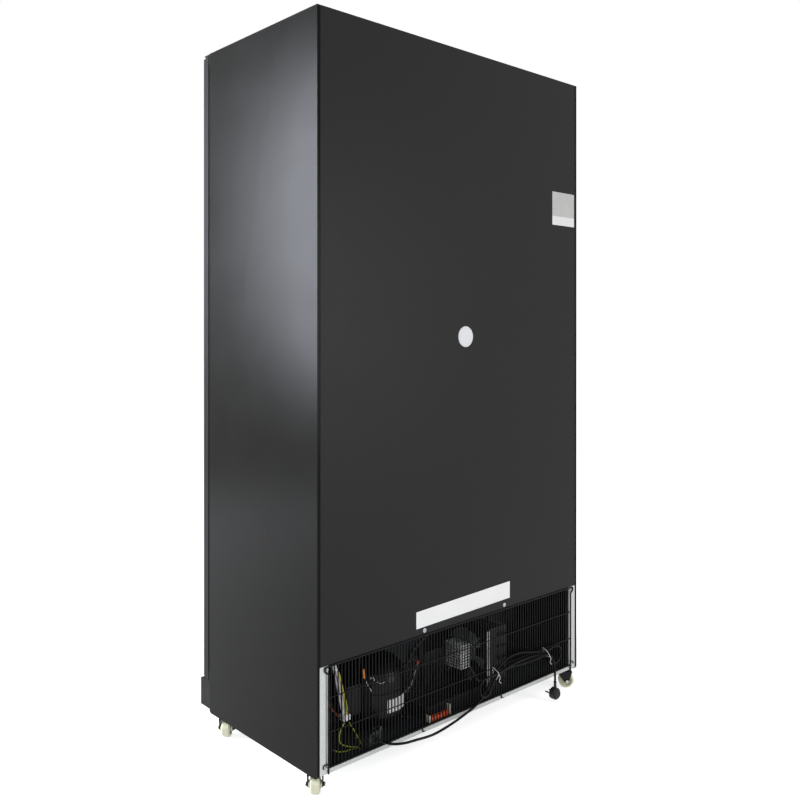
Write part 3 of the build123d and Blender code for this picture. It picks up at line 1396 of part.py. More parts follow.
def wiring_harness():
    """The wires that drop from the machine room's roof at the rear corner, and their block."""
    ceiling = Z_MACHINE_CEILING - SHEET - WIRE_END_GAP
    near_wall = HALF_WIDTH - WIRE_CORNER_GAP
    y = Y_BACK - WIRE_BACK_GAP
    block_top = Z_FLOOR + WIRE_BLOCK_HEIGHT
    terminal_block = block(
        near_wall - 60, near_wall - 32, y - 12, y + 12, block_top - WIRE_BLOCK_SIZE, block_top
    )
    trunk = (
        (near_wall - 2, y, ceiling),
        (near_wall - 8, y, 318),
        (near_wall - 20, y + 1, 285),
        (near_wall - 31, y, 240),
        (near_wall - 38, y, 205),
        (near_wall - 40, y, block_top),
    )
    sleeve = (
        (near_wall + 20, y - 14, ceiling),
        (near_wall + 16, y - 14, 300),
        (near_wall + 4, y - 15, 262),
        (near_wall - 2, y - 14, 222),
        (near_wall - 14, y - 12, 186),
        (near_wall - 32, y - 8, 164),
    )
    earth = (
        (near_wall - 26, y + 8, 270),
        (near_wall - 34, y + 9, 236),
        (near_wall - 44, y + 8, 206),
        (near_wall - 50, y + 8, block_top),
    )
    earth_loop = (
        (near_wall - 40, y + 6, block_top - WIRE_BLOCK_SIZE),
        (near_wall - 30, y + 8, 150),
        (near_wall - 18, y + 8, 128),
        (near_wall - 22, y + 8, 104),
        (near_wall - 52, y + 7, 88),
        (near_wall - 86, y + 4, 76),
        (near_wall - 96, y + 2, Z_FLOOR + WIRE_END_GAP),
    )
    lead = (
        (near_wall - 56, y - 2, block_top - WIRE_BLOCK_SIZE),
        (near_wall - 66, y - 2, 138),
        (near_wall - 86, y - 2, 108),
        (near_wall - 108, y - 2, Z_FLOOR + WIRE_END_GAP),
    )
    cover_edge = COMPRESSOR_X + COMPRESSOR_RADIUS + TERMINAL_COVER[0] / 2
    cover_back = Y_COMPRESSOR + TERMINAL_COVER[1] / 2
    cover_top = Z_FLOOR + TERMINAL_COVER_HEIGHT + TERMINAL_COVER[2]
    motor_lead = (
        (cover_edge, cover_back - 14, cover_top + WIRE_END_GAP),
        (cover_edge - 1, cover_back - 8, cover_top + 18),
        (cover_edge - 2, cover_back + 14, cover_top + 34),
        (cover_edge - 4, cover_back + 26, ceiling - 60),
        (cover_edge - 4, cover_back + 26, ceiling),
    )
    return group(
        [
            terminal_block,
            tube(trunk, WIRE * 1.5, TIE_SIDES),
            tube(sleeve, WIRE * 2, TIE_SIDES),
            tube(earth, THIN_WIRE, TIE_SIDES),
            tube(earth_loop, THIN_WIRE, TIE_SIDES),
            tube(lead, THIN_WIRE, TIE_SIDES),
            tube(motor_lead, WIRE, TIE_SIDES),
        ]
    )


# Evaporator


def evaporator_fan_place(side):
    """The underside centre of one evaporator fan."""
    return Pos(side * EVAPORATOR_FAN_X, Y_EVAPORATOR_FAN, Z_EVAPORATOR + EVAPORATOR_FAN_RISE)


def evaporator_cover():
    """The tray-like housing under the ceiling, with fan holes, return slots and control holes."""
    front = Y_EVAPORATOR_FRONT
    outer = block(-X_EVAPORATOR, X_EVAPORATOR, front, Y_EVAPORATOR_BACK, Z_EVAPORATOR, Z_CAVITY_TOP)
    sheet = EVAPORATOR_SHEET
    inner = block(
        -X_EVAPORATOR + sheet,
        X_EVAPORATOR - sheet,
        front + sheet,
        Y_EVAPORATOR_BACK - sheet,
        Z_EVAPORATOR + sheet,
        Z_CAVITY_TOP,
    )
    cover = outer - inner
    for side in (-1, 1):
        x = side * EVAPORATOR_FAN_X
        hole_path = ((x, Y_EVAPORATOR_FAN, Z_EVAPORATOR), (x, Y_EVAPORATOR_FAN, Z_EVAPORATOR + sheet))
        cover -= tube(hole_path, EVAPORATOR_FAN_HOLE, LARGE_SIDES)
    slot_pitch = 2 * X_EVAPORATOR / (RETURN_SLOT_COUNT + 1)
    for place in range(RETURN_SLOT_COUNT):
        x = (place + 1) * slot_pitch - X_EVAPORATOR
        cover -= block(
            x - RETURN_SLOT_WIDTH / 2,
            x + RETURN_SLOT_WIDTH / 2,
            Y_RETURN_SLOT - RETURN_SLOT_LENGTH,
            Y_RETURN_SLOT,
            Z_EVAPORATOR,
            Z_EVAPORATOR + sheet,
        )
    hole = KNOB_SHAFT + 2 * KNOB_CLEARANCE
    cover -= rod((KNOB_X, front, Z_CONTROLS), (KNOB_X, front + sheet, Z_CONTROLS), hole)
    return cover + switch_bezel()


def switch_bezel():
    """The frame on the cover's front that the lamp switch rocks in, with its two pivots."""
    width, height = SWITCH_SIZE
    z = Z_CONTROLS
    front = Y_EVAPORATOR_FRONT - SWITCH_DEPTH
    frame = block(
        SWITCH_X - width / 2 - SWITCH_BEZEL,
        SWITCH_X + width / 2 + SWITCH_BEZEL,
        front,
        Y_EVAPORATOR_FRONT,
        z - height / 2 - SWITCH_BEZEL,
        z + height / 2 + SWITCH_BEZEL,
    )
    frame -= block(
        SWITCH_X - width / 2,
        SWITCH_X + width / 2,
        front,
        Y_EVAPORATOR_FRONT,
        z - height / 2,
        z + height / 2,
    )
    pivot_y = Y_EVAPORATOR_FRONT - SWITCH_DEPTH / 2
    pin = rod((SWITCH_X - width / 2, pivot_y, z), (SWITCH_X + width / 2, pivot_y, z), SWITCH_BEZEL)
    return frame + pin


def light_switch():
    """A rocker with two slanted faces, on the bezel's pivot pin."""
    width, height = SWITCH_SIZE
    z = Z_CONTROLS
    pivot_y = Y_EVAPORATOR_FRONT - SWITCH_DEPTH / 2
    half = height / 2 - SWITCH_GAP
    nose = SWITCH_DEPTH / 2 + SWITCH_PROUD
    outline = make_face(
        Polyline(
            (pivot_y + SWITCH_BEZEL, z - half / 2),
            (pivot_y + SWITCH_BEZEL, z + half / 2),
            (pivot_y - nose, z + half),
            (pivot_y - nose + SWITCH_DISH, z),
            (pivot_y - nose, z - half),
            close=True,
        )
    )
    start = SWITCH_X - width / 2 + SEAT_GAP
    rocker = extrude(Plane.YZ.offset(start) * outline, width - 2 * SEAT_GAP)
    bore = SWITCH_BEZEL + 2 * KNOB_CLEARANCE
    return rocker - rod((start, pivot_y, z), (start + width, pivot_y, z), bore)


def thermostat_knob():
    """A round knob with a raised grip bar and a shaft through the cover."""
    z = Z_CONTROLS
    back = Y_EVAPORATOR_FRONT - SEAT_GAP
    skirt = KNOB_DEPTH / 2
    grip = KNOB_GRIP_LENGTH / 2
    knob = tube(((KNOB_X, back, z), (KNOB_X, back - skirt, z)), KNOB_DIAMETER, ROUND_SIDES)
    bar = block(
        KNOB_X - KNOB_GRIP / 2,
        KNOB_X + KNOB_GRIP / 2,
        back - KNOB_DEPTH,
        back - skirt,
        z - grip,
        z + grip,
    )
    shaft = rod((KNOB_X, back, z), (KNOB_X, Y_EVAPORATOR_FRONT + KNOB_SHAFT_REACH, z), KNOB_SHAFT)
    return knob + bar + shaft


def evaporator_coil():
    """The finned cooling block behind the fans."""
    y1 = Y_EVAPORATOR_COIL
    y0 = y1 - EVAPORATOR_COIL_DEPTH
    x1 = X_EVAPORATOR - EVAPORATOR_COIL_INSET
    z1 = Z_CAVITY_TOP
    z0 = z1 - EVAPORATOR_COIL_HEIGHT
    count = int((2 * x1 - EVAPORATOR_FIN) / EVAPORATOR_FIN_PITCH)
    start = -(count * EVAPORATOR_FIN_PITCH + EVAPORATOR_FIN) / 2
    coil = block(start, -start, y0, y1, z0, z1)
    gaps = [
        block(
            start + place * EVAPORATOR_FIN_PITCH + EVAPORATOR_FIN,
            start + (place + 1) * EVAPORATOR_FIN_PITCH,
            y0,
            y1,
            z0,
            z1 - EVAPORATOR_FIN,
        )
        for place in range(count)
    ]
    return coil - group(gaps)


def evaporator_fan_motor(side):
    """A motor hung from the ceiling on a bracket, with its shaft down to the fan."""
    x = side * EVAPORATOR_FAN_X
    y = Y_EVAPORATOR_FAN
    z0 = Z_EVAPORATOR + EVAPORATOR_FAN_RISE
    body_bottom = z0 + FAN_HUB_DEPTH + FAN_MOTOR_GAP
    body_top = body_bottom + EVAPORATOR_MOTOR_LENGTH
    motor = tube(((x, y, body_bottom), (x, y, body_top)), EVAPORATOR_MOTOR, SMALL_SIDES)
    motor += rod((x, y, z0), (x, y, body_bottom), FAN_SHAFT)
    half = EVAPORATOR_MOTOR / 4
    return motor + block(x - half, x + half, y - half, y + half, body_top, Z_CAVITY_TOP)


# Inside the cabinet


def led_lamps():
    """A lamp bar up each side behind the door's edge."""
    lamp = block(
        X_CAVITY - LAMP_WIDTH,
        X_CAVITY,
        Y_FRAME_BACK,
        Y_FRAME_BACK + LAMP_DEPTH,
        Z_CAVITY_FLOOR + LAMP_BOTTOM_GAP,
        Z_CAVITY_TOP - LAMP_TOP_GAP,
    )
    lamp = chamfer(lamp.edges().filter_by(Axis.Z).group_by(Axis.Y)[-1].sort_by(Axis.X)[0], LAMP_WIDTH / 2)
    return group([lamp, mirrored(lamp)])


def shelf_rails():
    """Two slotted strips on each side wall, two behind the mullion and two on the rear wall."""
    top = Z_EVAPORATOR - RAIL_END_GAP
    side_bottom = Z_CAVITY_FLOOR + RAIL_END_GAP
    hump_bottom = Z_HUMP + LINER
    half = RAIL_WIDTH / 2
    x0 = X_CAVITY - RAIL_DEPTH
    strips = [
        block(x0, X_CAVITY, Y_RAIL_FRONT - half, Y_RAIL_FRONT + half, side_bottom, top),
        block(x0, X_CAVITY, Y_RAIL_REAR - half, Y_RAIL_REAR + half, hump_bottom, top),
        block(
            RAIL_CENTRE_OFFSET - half,
            RAIL_CENTRE_OFFSET + half,
            Y_MULLION_BACK,
            Y_MULLION_BACK + RAIL_DEPTH,
            side_bottom,
            top,
        ),
        block(
            RAIL_CENTRE_OFFSET - half,
            RAIL_CENTRE_OFFSET + half,
            Y_CAVITY_BACK - RAIL_DEPTH,
            Y_CAVITY_BACK,
            hump_bottom,
            top,
        ),
    ]
    return group([*strips, *[mirrored(strip) for strip in strips]])


def shelf_levels():
    """The underside height of each shelf."""
    return [Z_FIRST_SHELF + place * SHELF_PITCH for place in range(SHELF_COUNT)]


def clip(place, z):
    """One clip: a tab on a rail and a tongue under the shelf, pointing along local +X."""
    tab = block(0, CLIP_THICKNESS, -CLIP_WIDTH / 2, CLIP_WIDTH / 2, z - CLIP_HEIGHT, z)
    tongue = block(0, CLIP_TONGUE, -CLIP_WIDTH / 2, CLIP_WIDTH / 2, z - CLIP_THICKNESS, z)
    return place * (tab + tongue)


def shelf_clips():
    """Four clips under every shelf."""
    wall = X_CAVITY - RAIL_DEPTH
    front = Y_MULLION_BACK + RAIL_DEPTH
    back = Y_CAVITY_BACK - RAIL_DEPTH
    places = [
        Pos(wall, Y_RAIL_FRONT, 0) * Rot(0, 0, 180),
        Pos(wall, Y_RAIL_REAR, 0) * Rot(0, 0, 180),
        Pos(RAIL_CENTRE_OFFSET, front, 0) * Rot(0, 0, 90),
        Pos(RAIL_CENTRE_OFFSET, back, 0) * Rot(0, 0, -90),
    ]
    clips = [clip(place, z) for place in places for z in shelf_levels()]
    return group([*clips, *[mirrored(piece) for piece in clips]])


def shelf():
    """A shelf of parallel bars within a border, at height zero."""
    shelf_plate = block(X_SHELF_INNER, X_SHELF_OUTER, Y_SHELF_FRONT, Y_SHELF_BACK, 0, SHELF_THICKNESS)
    shelf_plate = chamfer(shelf_plate.edges().filter_by(Axis.Z), SHELF_CORNER)
    inner_width = X_SHELF_OUTER - X_SHELF_INNER - 2 * SHELF_BORDER
    slot = (inner_width - (SHELF_SLOTS - 1) * SHELF_BAR) / SHELF_SLOTS
    start = X_SHELF_INNER + SHELF_BORDER
    slots = [
        block(
            start + place * (slot + SHELF_BAR),
            start + place * (slot + SHELF_BAR) + slot,
            Y_SHELF_FRONT + SHELF_BORDER,
            Y_SHELF_BACK - SHELF_BORDER,
            0,
            SHELF_THICKNESS,
        )
        for place in range(SHELF_SLOTS)
    ]
    return shelf_plate - group(slots)


def shelves():
    """The stack of shelves on the +X side."""
    one = shelf()
    return group([Pos(0, 0, z) * one for z in shelf_levels()])


# Mains cord


def cord_tube(points, name):
    """A free stretch of cord; prints its radii and compares its volume with its length."""
    radii = bend_radii(points)
    path = FilletPolyline(*points, radius=radii)
    section = Plane(origin=path @ 0, z_dir=path % 0) * RegularPolygon(CORD / 2, CORD_SIDES)
    solid = sweep(section, path=path)
    print(name, "radii", [round(radius) for radius in radii])
    ratio = solid.volume / (section.area * path.length)
    print(name, "length", round(path.length, 1), "volume ratio", round(ratio, 4))
    return solid, path


def loop_points(centre, angles, depths):
    """Points round one loop of the hank."""
    x, z = centre
    return [
        (x + HANK_LOOP_RADIUS * cos(radians(angle)), y, z + HANK_LOOP_RADIUS * sin(radians(angle)))
        for angle, y in zip(angles, depths)
    ]


def hank_route():
    """The folded cord: out along the guard, round the far loop, back, round the near loop, out again."""
    far_depths = [FAR_LOOP_Y] * len(FAR_LOOP_ANGLES)
    return (
        *HANK_OUTWARD,
        *loop_points(FAR_LOOP_CENTRE, FAR_LOOP_ANGLES, far_depths),
        *HANK_RETURN,
        *loop_points(NEAR_LOOP_CENTRE, NEAR_LOOP_ANGLES, NEAR_LOOP_Y),
        *HANK_LAST,
    )


def least_gap(path):
    """The least clear distance between stretches of a path that are far apart along it."""
    count = ceil(path.length / HANK_SAMPLE)
    points = [path @ (place / count) for place in range(count + 1)]
    apart = ceil(HANK_APART / HANK_SAMPLE)
    distances = [
        (points[first] - points[second]).length
        for first in range(count + 1)
        for second in range(first + apart, count + 1)
    ]
    return min(distances) - CORD


def cord_hank():
    """The cord folded into a hank that hangs on the guard."""
    solid, path = cord_tube(hank_route(), "cord_hank")
    gap = least_gap(path)
    print("cord_hank least gap to itself", round(gap, 2), "wanted", HANK_LEAST_GAP)
    return solid


def plug():
    """A round plug with its pins towards the cabinet and the cord entering from above."""
    x, y, top = TAIL_ROUTE[-1]
    z = top - PLUG_DROP
    radius = PLUG_DIAMETER / 2
    half = PLUG_THICKNESS / 2
    profile = (
        (0, -half),
        (radius - PLUG_EDGE, -half),
        (radius, -half + PLUG_EDGE / 2),
        (radius, half - PLUG_EDGE * 2),
        (radius - PLUG_EDGE * 2, half),
        (0, half),
    )
    body = turned(profile, ROUND_SIDES, (x, y, z), (0, 1, 0))
    neck_bottom = top - PLUG_NECK
    neck = turned(
        (
            (0, neck_bottom - PLUG_NECK_WIDTH / 2),
            (PLUG_NECK_WIDTH / 2 + PLUG_NECK_TAPER, neck_bottom - PLUG_NECK_WIDTH / 2),
            (PLUG_NECK_WIDTH / 2 - PLUG_NECK_TAPER, neck_bottom),
            (PLUG_COLLAR / 2 - PLUG_NECK_TAPER, top - PLUG_COLLAR_LENGTH),
            (PLUG_COLLAR / 2, top - PLUG_COLLAR_LENGTH),
            (PLUG_COLLAR / 2, top),
            (0, top),
        ),
        SMALL_SIDES,
        (x, y, 0),
    )
    body += neck
    for side in (-1, 1):
        pin_x = x + side * PIN_SPACING / 2
        pin_path = ((pin_x, y - half - PIN_LENGTH, z), (pin_x, y - half + PLUG_EDGE, z))
        body += tube(pin_path, PIN_DIAMETER, SMALL_SIDES)
    return body


def strand_points(x):
    """Where the hank's strands cross an upright plane, as (depth, height)."""
    route = hank_route()
    crossings = []
    for start, end in zip(route, route[1:]):
        if (start[0] - x) * (end[0] - x) < 0:
            share = (x - start[0]) / (end[0] - start[0])
            crossings.append(
                (start[1] + share * (end[1] - start[1]), start[2] + share * (end[2] - start[2]))
            )
    return crossings


def twist_tie(x):
    """A wire tie round the strands and the guard's lower rail, with its twisted ends hanging."""
    reach = (CORD + TIE_WIRE) / 2 + TIE_CLEARANCE
    circles = [Edge.make_circle(reach, Plane(strand)) for strand in strand_points(x)]
    rail_reach = (GRILLE_RAIL_WIRE + TIE_WIRE) / 2 + SEAT_GAP
    rail = (Y_SHEET + GRILLE_RAIL_WIRE / 2, GRILLE_RAIL_HEIGHTS[0])
    circles.append(Edge.make_circle(rail_reach, Plane(rail)))
    outline = Plane.YZ.offset(x) * make_hull(circles)
    path = outline.wires()[0].trim(0, 1 - TIE_OPENING)
    section = Plane(origin=path @ 0, z_dir=path % 0) * RegularPolygon(TIE_WIRE / 2, TIE_SIDES)
    loop = sweep(section, path=path)
    knot = outline.vertices().sort_by(Axis.Y)[-1]
    tail = tube(
        (
            (x, knot.Y, knot.Z),
            (x - TIE_TAIL / 2, knot.Y + TIE_WIRE * 2, knot.Z - TIE_TAIL),
            (x + TIE_TAIL / 4, knot.Y + TIE_WIRE * 2, knot.Z - TIE_TAIL * 2),
            (x - TIE_TAIL, knot.Y + TIE_WIRE, knot.Z - TIE_TAIL * 3),
        ),
        TIE_WIRE,
        TIE_SIDES,
    )
    return loop + tail


def twist_ties():
    """The two ties of the hank."""
    return group([twist_tie(x) for x in TIE_PLACES])


def build_nodes():
    """Every piece, under its node's name."""
    power_cord, _ = cord_tube(CORD_ROUTE, "power_cord")
    cord_tail, _ = cord_tube(TAIL_ROUTE, "cord_tail")
    right_panel = side_panel()
    post = corner_post()
    nodes = {
        "side_panel_right": right_panel,
        "side_panel_left": mirrored(right_panel),
        "top_panel": top_panel(),
        "back_panel": back_panel(),
        "foam_port_cap": foam_port_cap(),
        "inner_liner": inner_liner(),
        "insulation_foam": insulation_foam(),
        "machine_bulkhead": machine_bulkhead(),
        "front_frame": front_frame(),
        "base_pan": base_pan(),
        "rear_corner_posts": group([post, mirrored(post)]),
        "rear_grille": rear_grille(),
        "rear_screws": rear_screws(),
        "plinth_grille": plinth_grille(),
        "door_hinges": door_hinges(),
        "compressor": compressor(),
        "compressor_feet": compressor_feet(),
        "compressor_terminal_cover": compressor_terminal_cover(),
        "condenser_coil": condenser_coil(),
        "fan_shroud": fan_shroud(),
        "condenser_fan": condenser_fan(),
        "condenser_fan_motor": condenser_fan_motor(),
        "drip_tray": drip_tray(),
        "junction_box": junction_box(),
        "refrigerant_pipes": refrigerant_pipes(),
        "wiring_harness": wiring_harness(),
        "evaporator_coil": evaporator_coil(),
        "evaporator_cover": evaporator_cover(),
        "evaporator_fan_motors": group([evaporator_fan_motor(side) for side in (-1, 1)]),
        "thermostat_knob": thermostat_knob(),
        "light_switch": light_switch(),
        "led_lamps": led_lamps(),
        "shelf_rails": shelf_rails(),
        "shelf_clips": shelf_clips(),
        "cord_gland": cord_gland(),
        "power_cord": power_cord,
        "cord_hank": cord_hank(),
        "cord_tail": cord_tail,
        "plug": plug(),
        "twist_ties": twist_ties(),
    }
    evaporator_fan = fan_rotor(EVAPORATOR_FAN_RADIUS, FAN_HUB, FAN_HUB_DEPTH)
    paired = {
        "door_frame": door_frame(),
        "door_glass": door_glass(),
        "door_gasket": door_gasket(),
        "shelves": shelves(),
        "evaporator_fan": evaporator_fan_place(1) * evaporator_fan,
    }
    for name, piece in paired.items():
        nodes[name + "_right"] = piece
        nodes[name + "_left"] = mirrored(piece)
    plates = []
    for place_name, (side, end, inset, heading) in CASTORS.items():
        place = castor_place(side, end, inset, heading)
        nodes["castor_fork_" + place_name] = place * castor_fork()
        nodes["castor_wheel_" + place_name] = place * castor_wheel()
        plates.append(castor_place(side, end, inset, 0) * castor_plate())
    nodes["castor_plates"] = group(plates)
    return nodes


os.makedirs("parts", exist_ok=True)
for node, shape in build_nodes().items():
    export_step(shape, os.path.join("parts", node + ".step"))
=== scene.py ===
import math

import bmesh
import bpy
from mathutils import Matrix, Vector


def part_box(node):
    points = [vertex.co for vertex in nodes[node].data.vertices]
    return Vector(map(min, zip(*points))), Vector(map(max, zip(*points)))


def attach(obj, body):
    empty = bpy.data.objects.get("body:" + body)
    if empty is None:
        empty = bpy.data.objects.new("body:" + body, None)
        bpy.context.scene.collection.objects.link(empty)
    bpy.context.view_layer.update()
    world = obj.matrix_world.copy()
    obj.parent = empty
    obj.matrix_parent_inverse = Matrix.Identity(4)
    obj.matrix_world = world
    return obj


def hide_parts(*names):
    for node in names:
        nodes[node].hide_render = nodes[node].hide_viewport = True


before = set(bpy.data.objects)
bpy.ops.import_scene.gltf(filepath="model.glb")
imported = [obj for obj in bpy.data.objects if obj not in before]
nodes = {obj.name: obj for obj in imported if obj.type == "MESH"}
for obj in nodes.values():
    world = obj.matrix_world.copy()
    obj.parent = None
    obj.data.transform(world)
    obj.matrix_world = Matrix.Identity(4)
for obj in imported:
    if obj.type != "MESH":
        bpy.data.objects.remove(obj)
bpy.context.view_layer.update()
CABINET = "cabinet"


# Camera, as solved from the cabinet's edges in the photograph

CAMERA_PLACE = (1.8458, 2.0305, 1.1840)
CAMERA_TURN = math.radians(137.68)
CAMERA_LENS = 38.888
CAMERA_SHIFT = -0.0839
SENSOR_WIDTH = 36.0
CLIP_END = 100.0


def add_camera():
    data = bpy.data.cameras.new("camera")
    data.lens = CAMERA_LENS
    data.sensor_width = SENSOR_WIDTH
    data.shift_y = CAMERA_SHIFT
    data.clip_end = CLIP_END
    camera = bpy.data.objects.new("camera", data)
    camera.location = CAMERA_PLACE
    camera.rotation_euler = (math.pi / 2, 0.0, CAMERA_TURN)
    bpy.context.collection.objects.link(camera)
    bpy.context.scene.camera = camera


# Materials

NOISE_LOW = 0.3
NOISE_HIGH = 0.7
FINE_GRAIN = 0.0001
PLAIN = (1, 1, 1)


def srgb(*levels):
    """Linear colour from levels of 0 to 255 as they should look."""
    values = [level / 255 for level in levels]
    linear = [v / 12.92 if v <= 0.04045 else ((v + 0.055) / 1.055) ** 2.4 for v in values]
    return (*linear, 1.0)


def shade(colour, factor):
    """A colour made darker or lighter by a factor."""
    return (*[min(channel * factor, 1.0) for channel in colour[:3]], 1.0)


class Nodes:
    """A short way to build the node tree of a material or of the world."""

    def __init__(self, name, owners=bpy.data.materials, output="ShaderNodeOutputMaterial"):
        self.owner = owners.new(name)
        self.owner.use_nodes = True
        self.tree = self.owner.node_tree
        self.tree.nodes.clear()
        self.output = self.add(output)

    def add(self, kind, **values):
        node = self.tree.nodes.new(kind)
        for key, value in values.items():
            setattr(node, key, value)
        return node

    def link(self, source, target):
        self.tree.links.new(source, target)

    def position(self, scale=PLAIN):
        """The surface's own place, in metres, stretched along the axes."""
        coordinates = self.add("ShaderNodeTexCoord")
        mapping = self.add("ShaderNodeMapping")
        mapping.inputs["Scale"].default_value = scale
        self.link(coordinates.outputs["Object"], mapping.inputs["Vector"])
        return mapping.outputs["Vector"]

    def noise(self, scale, detail=3.0, stretch=PLAIN):
        noise = self.add("ShaderNodeTexNoise")
        noise.inputs["Scale"].default_value = scale
        noise.inputs["Detail"].default_value = detail
        self.link(self.position(stretch), noise.inputs["Vector"])
        return noise.outputs["Fac"]

    def ramp(self, source, *stops):
        """A colour that follows a value through (place, colour) stops."""
        ramp = self.add("ShaderNodeValToRGB")
        elements = ramp.color_ramp.elements
        while len(elements) < len(stops):
            elements.new(0.5)
        for element, (place, colour) in zip(elements, stops):
            element.position = place
            element.color = colour
        self.link(source, ramp.inputs["Fac"])
        return ramp.outputs["Color"]

    def cloud(self, source, first, second):
        """A colour that drifts between two over the middle of a noise."""
        return self.ramp(source, (NOISE_LOW, first), (NOISE_HIGH, second))

    def spread(self, source, low, high):
        """A value that drifts between two over the middle of a noise."""
        spread = self.add("ShaderNodeMapRange")
        spread.inputs["From Min"].default_value = NOISE_LOW
        spread.inputs["From Max"].default_value = NOISE_HIGH
        spread.inputs["To Min"].default_value = low
        spread.inputs["To Max"].default_value = high
        self.link(source, spread.inputs["Value"])
        return spread.outputs["Result"]

    def past(self, axis, place, sense="GREATER_THAN"):
        """One where the surface lies past a place along an axis, in metres."""
        axes = self.add("ShaderNodeSeparateXYZ")
        self.link(self.position(), axes.inputs["Vector"])
        compare = self.add("ShaderNodeMath", operation=sense)
        compare.inputs[1].default_value = place
        self.link(axes.outputs[axis], compare.inputs[0])
        return compare.outputs["Value"]

    def both(self, first, second):
        """One where two masks are both one."""
        product = self.add("ShaderNodeMath", operation="MULTIPLY")
        self.link(first, product.inputs[0])
        self.link(second, product.inputs[1])
        return product.outputs["Value"]

    def mix(self, share, first, second):
        """The first colour where the share is 0 and the second where it is 1."""
        mix = self.add("ShaderNodeMix", data_type="RGBA")
        self.link(share, mix.inputs["Factor"])
        self.link(first, mix.inputs["A"])
        mix.inputs["B"].default_value = second
        return mix.outputs["Result"]

    def bump(self, source, strength, distance):
        bump = self.add("ShaderNodeBump")
        bump.inputs["Strength"].default_value = strength
        bump.inputs["Distance"].default_value = distance
        self.link(source, bump.inputs["Height"])
        return bump.outputs["Normal"]

    def greatest(self, *sources):
        """The greatest of some values."""
        top = sources[0]
        for source in sources[1:]:
            larger = self.add("ShaderNodeMath", operation="MAXIMUM")
            self.link(top, larger.inputs[0])
            self.link(source, larger.inputs[1])
            top = larger.outputs["Value"]
        return top

    def seen(self):
        """One for what the camera, a reflection or a pane shows, and else zero."""
        rays = self.add("ShaderNodeLightPath").outputs
        return self.greatest(
            rays["Is Camera Ray"], rays["Is Glossy Ray"], rays["Is Transmission Ray"]
        )

    def finish(self, shader):
        """Links the last shader to the output and gives back what owns the tree."""
        self.link(shader, self.output.inputs["Surface"])
        return self.owner


def surface(
    name,
    colour,
    roughness,
    metallic=0.0,
    tone=0.08,
    cloud=6.0,
    grain=900.0,
    bump=0.15,
    stretch=PLAIN,
    specular=0.5,
    spread=0.06,
):
    """A painted, moulded or rolled surface with cloudy tone, uneven gloss and a fine grain."""
    kit = Nodes(name)
    bsdf = kit.add("ShaderNodeBsdfPrincipled")
    clouds = kit.noise(cloud, 4.0, stretch)
    tones = kit.cloud(clouds, shade(colour, 1 - tone), shade(colour, 1 + tone))
    kit.link(tones, bsdf.inputs["Base Color"])
    uneven = kit.noise(cloud * 3.7, 3.0, stretch)
    gloss = kit.spread(uneven, roughness - spread, roughness + spread)
    kit.link(gloss, bsdf.inputs["Roughness"])
    relief = kit.bump(kit.noise(grain, 2.0, stretch), bump, FINE_GRAIN)
    kit.link(relief, bsdf.inputs["Normal"])
    bsdf.inputs["Metallic"].default_value = metallic
    bsdf.inputs["Specular IOR Level"].default_value = specular
    return kit.finish(bsdf.outputs["BSDF"])


def glass_material(name):
    """A clear pane with a faint green tint that also lets light through."""
    kit = Nodes(name)
    bsdf = kit.add("ShaderNodeBsdfPrincipled")
    tint = kit.cloud(kit.noise(3.0), (0.90, 0.95, 0.94, 1), (0.95, 0.98, 0.97, 1))
    kit.link(tint, bsdf.inputs["Base Color"])
    kit.link(kit.spread(kit.noise(9.0), 0.0, 0.03), bsdf.inputs["Roughness"])
    bsdf.inputs["Transmission Weight"].default_value = 1.0
    bsdf.inputs["IOR"].default_value = 1.45
    return kit.finish(bsdf.outputs["BSDF"])


PAN_TOP = 0.0655
PAN_REAR = 0.2859
SPANGLE_SCALE = 160.0


def galvanised_material(name, painted_shade_inside=False):
    """Zinc-coated sheet with a faint spangle; a pan's inside, within the machine room, may be
    darkened as painted shade.
    """
    kit = Nodes(name)
    bsdf = kit.add("ShaderNodeBsdfPrincipled")
    spangle = kit.add("ShaderNodeTexVoronoi")
    spangle.inputs["Scale"].default_value = SPANGLE_SCALE
    kit.link(kit.position(), spangle.inputs["Vector"])
    stops = (0.1, srgb(186, 189, 186)), (0.9, srgb(193, 196, 193))
    colour = kit.ramp(spangle.outputs["Color"], *stops)
    kit.link(kit.spread(spangle.outputs["Distance"], 0.42, 0.5), bsdf.inputs["Roughness"])
    kit.link(kit.bump(kit.noise(700.0), 0.08, FINE_GRAIN), bsdf.inputs["Normal"])
    # Painted shade: the pan's inside, within the machine room, gets a dark grey in place of zinc.
    if painted_shade_inside:
        inside = kit.both(kit.past("Z", PAN_TOP), kit.past("Y", PAN_REAR, "LESS_THAN"))
        colour = kit.mix(inside, colour, srgb(29, 35, 37))
    kit.link(colour, bsdf.inputs["Base Color"])
    bsdf.inputs["Metallic"].default_value = 0.2
    return kit.finish(bsdf.outputs["BSDF"])


STRIPE_PITCH = 0.004


def two_tone_wire(name, first, second):
    """Insulation with a second colour that winds along the wire."""
    kit = Nodes(name)
    bsdf = kit.add("ShaderNodeBsdfPrincipled")
    wave = kit.add("ShaderNodeTexWave")
    wave.inputs["Scale"].default_value = 1 / STRIPE_PITCH
    wave.inputs["Distortion"].default_value = 2.0
    kit.link(kit.position((1, 0.3, 1)), wave.inputs["Vector"])
    stripes = kit.ramp(wave.outputs["Fac"], (0.55, first), (0.6, second))
    kit.link(stripes, bsdf.inputs["Base Color"])
    kit.link(kit.spread(kit.noise(300.0), 0.35, 0.5), bsdf.inputs["Roughness"])
    return kit.finish(bsdf.outputs["BSDF"])


SEAM_FRONT = 0.283


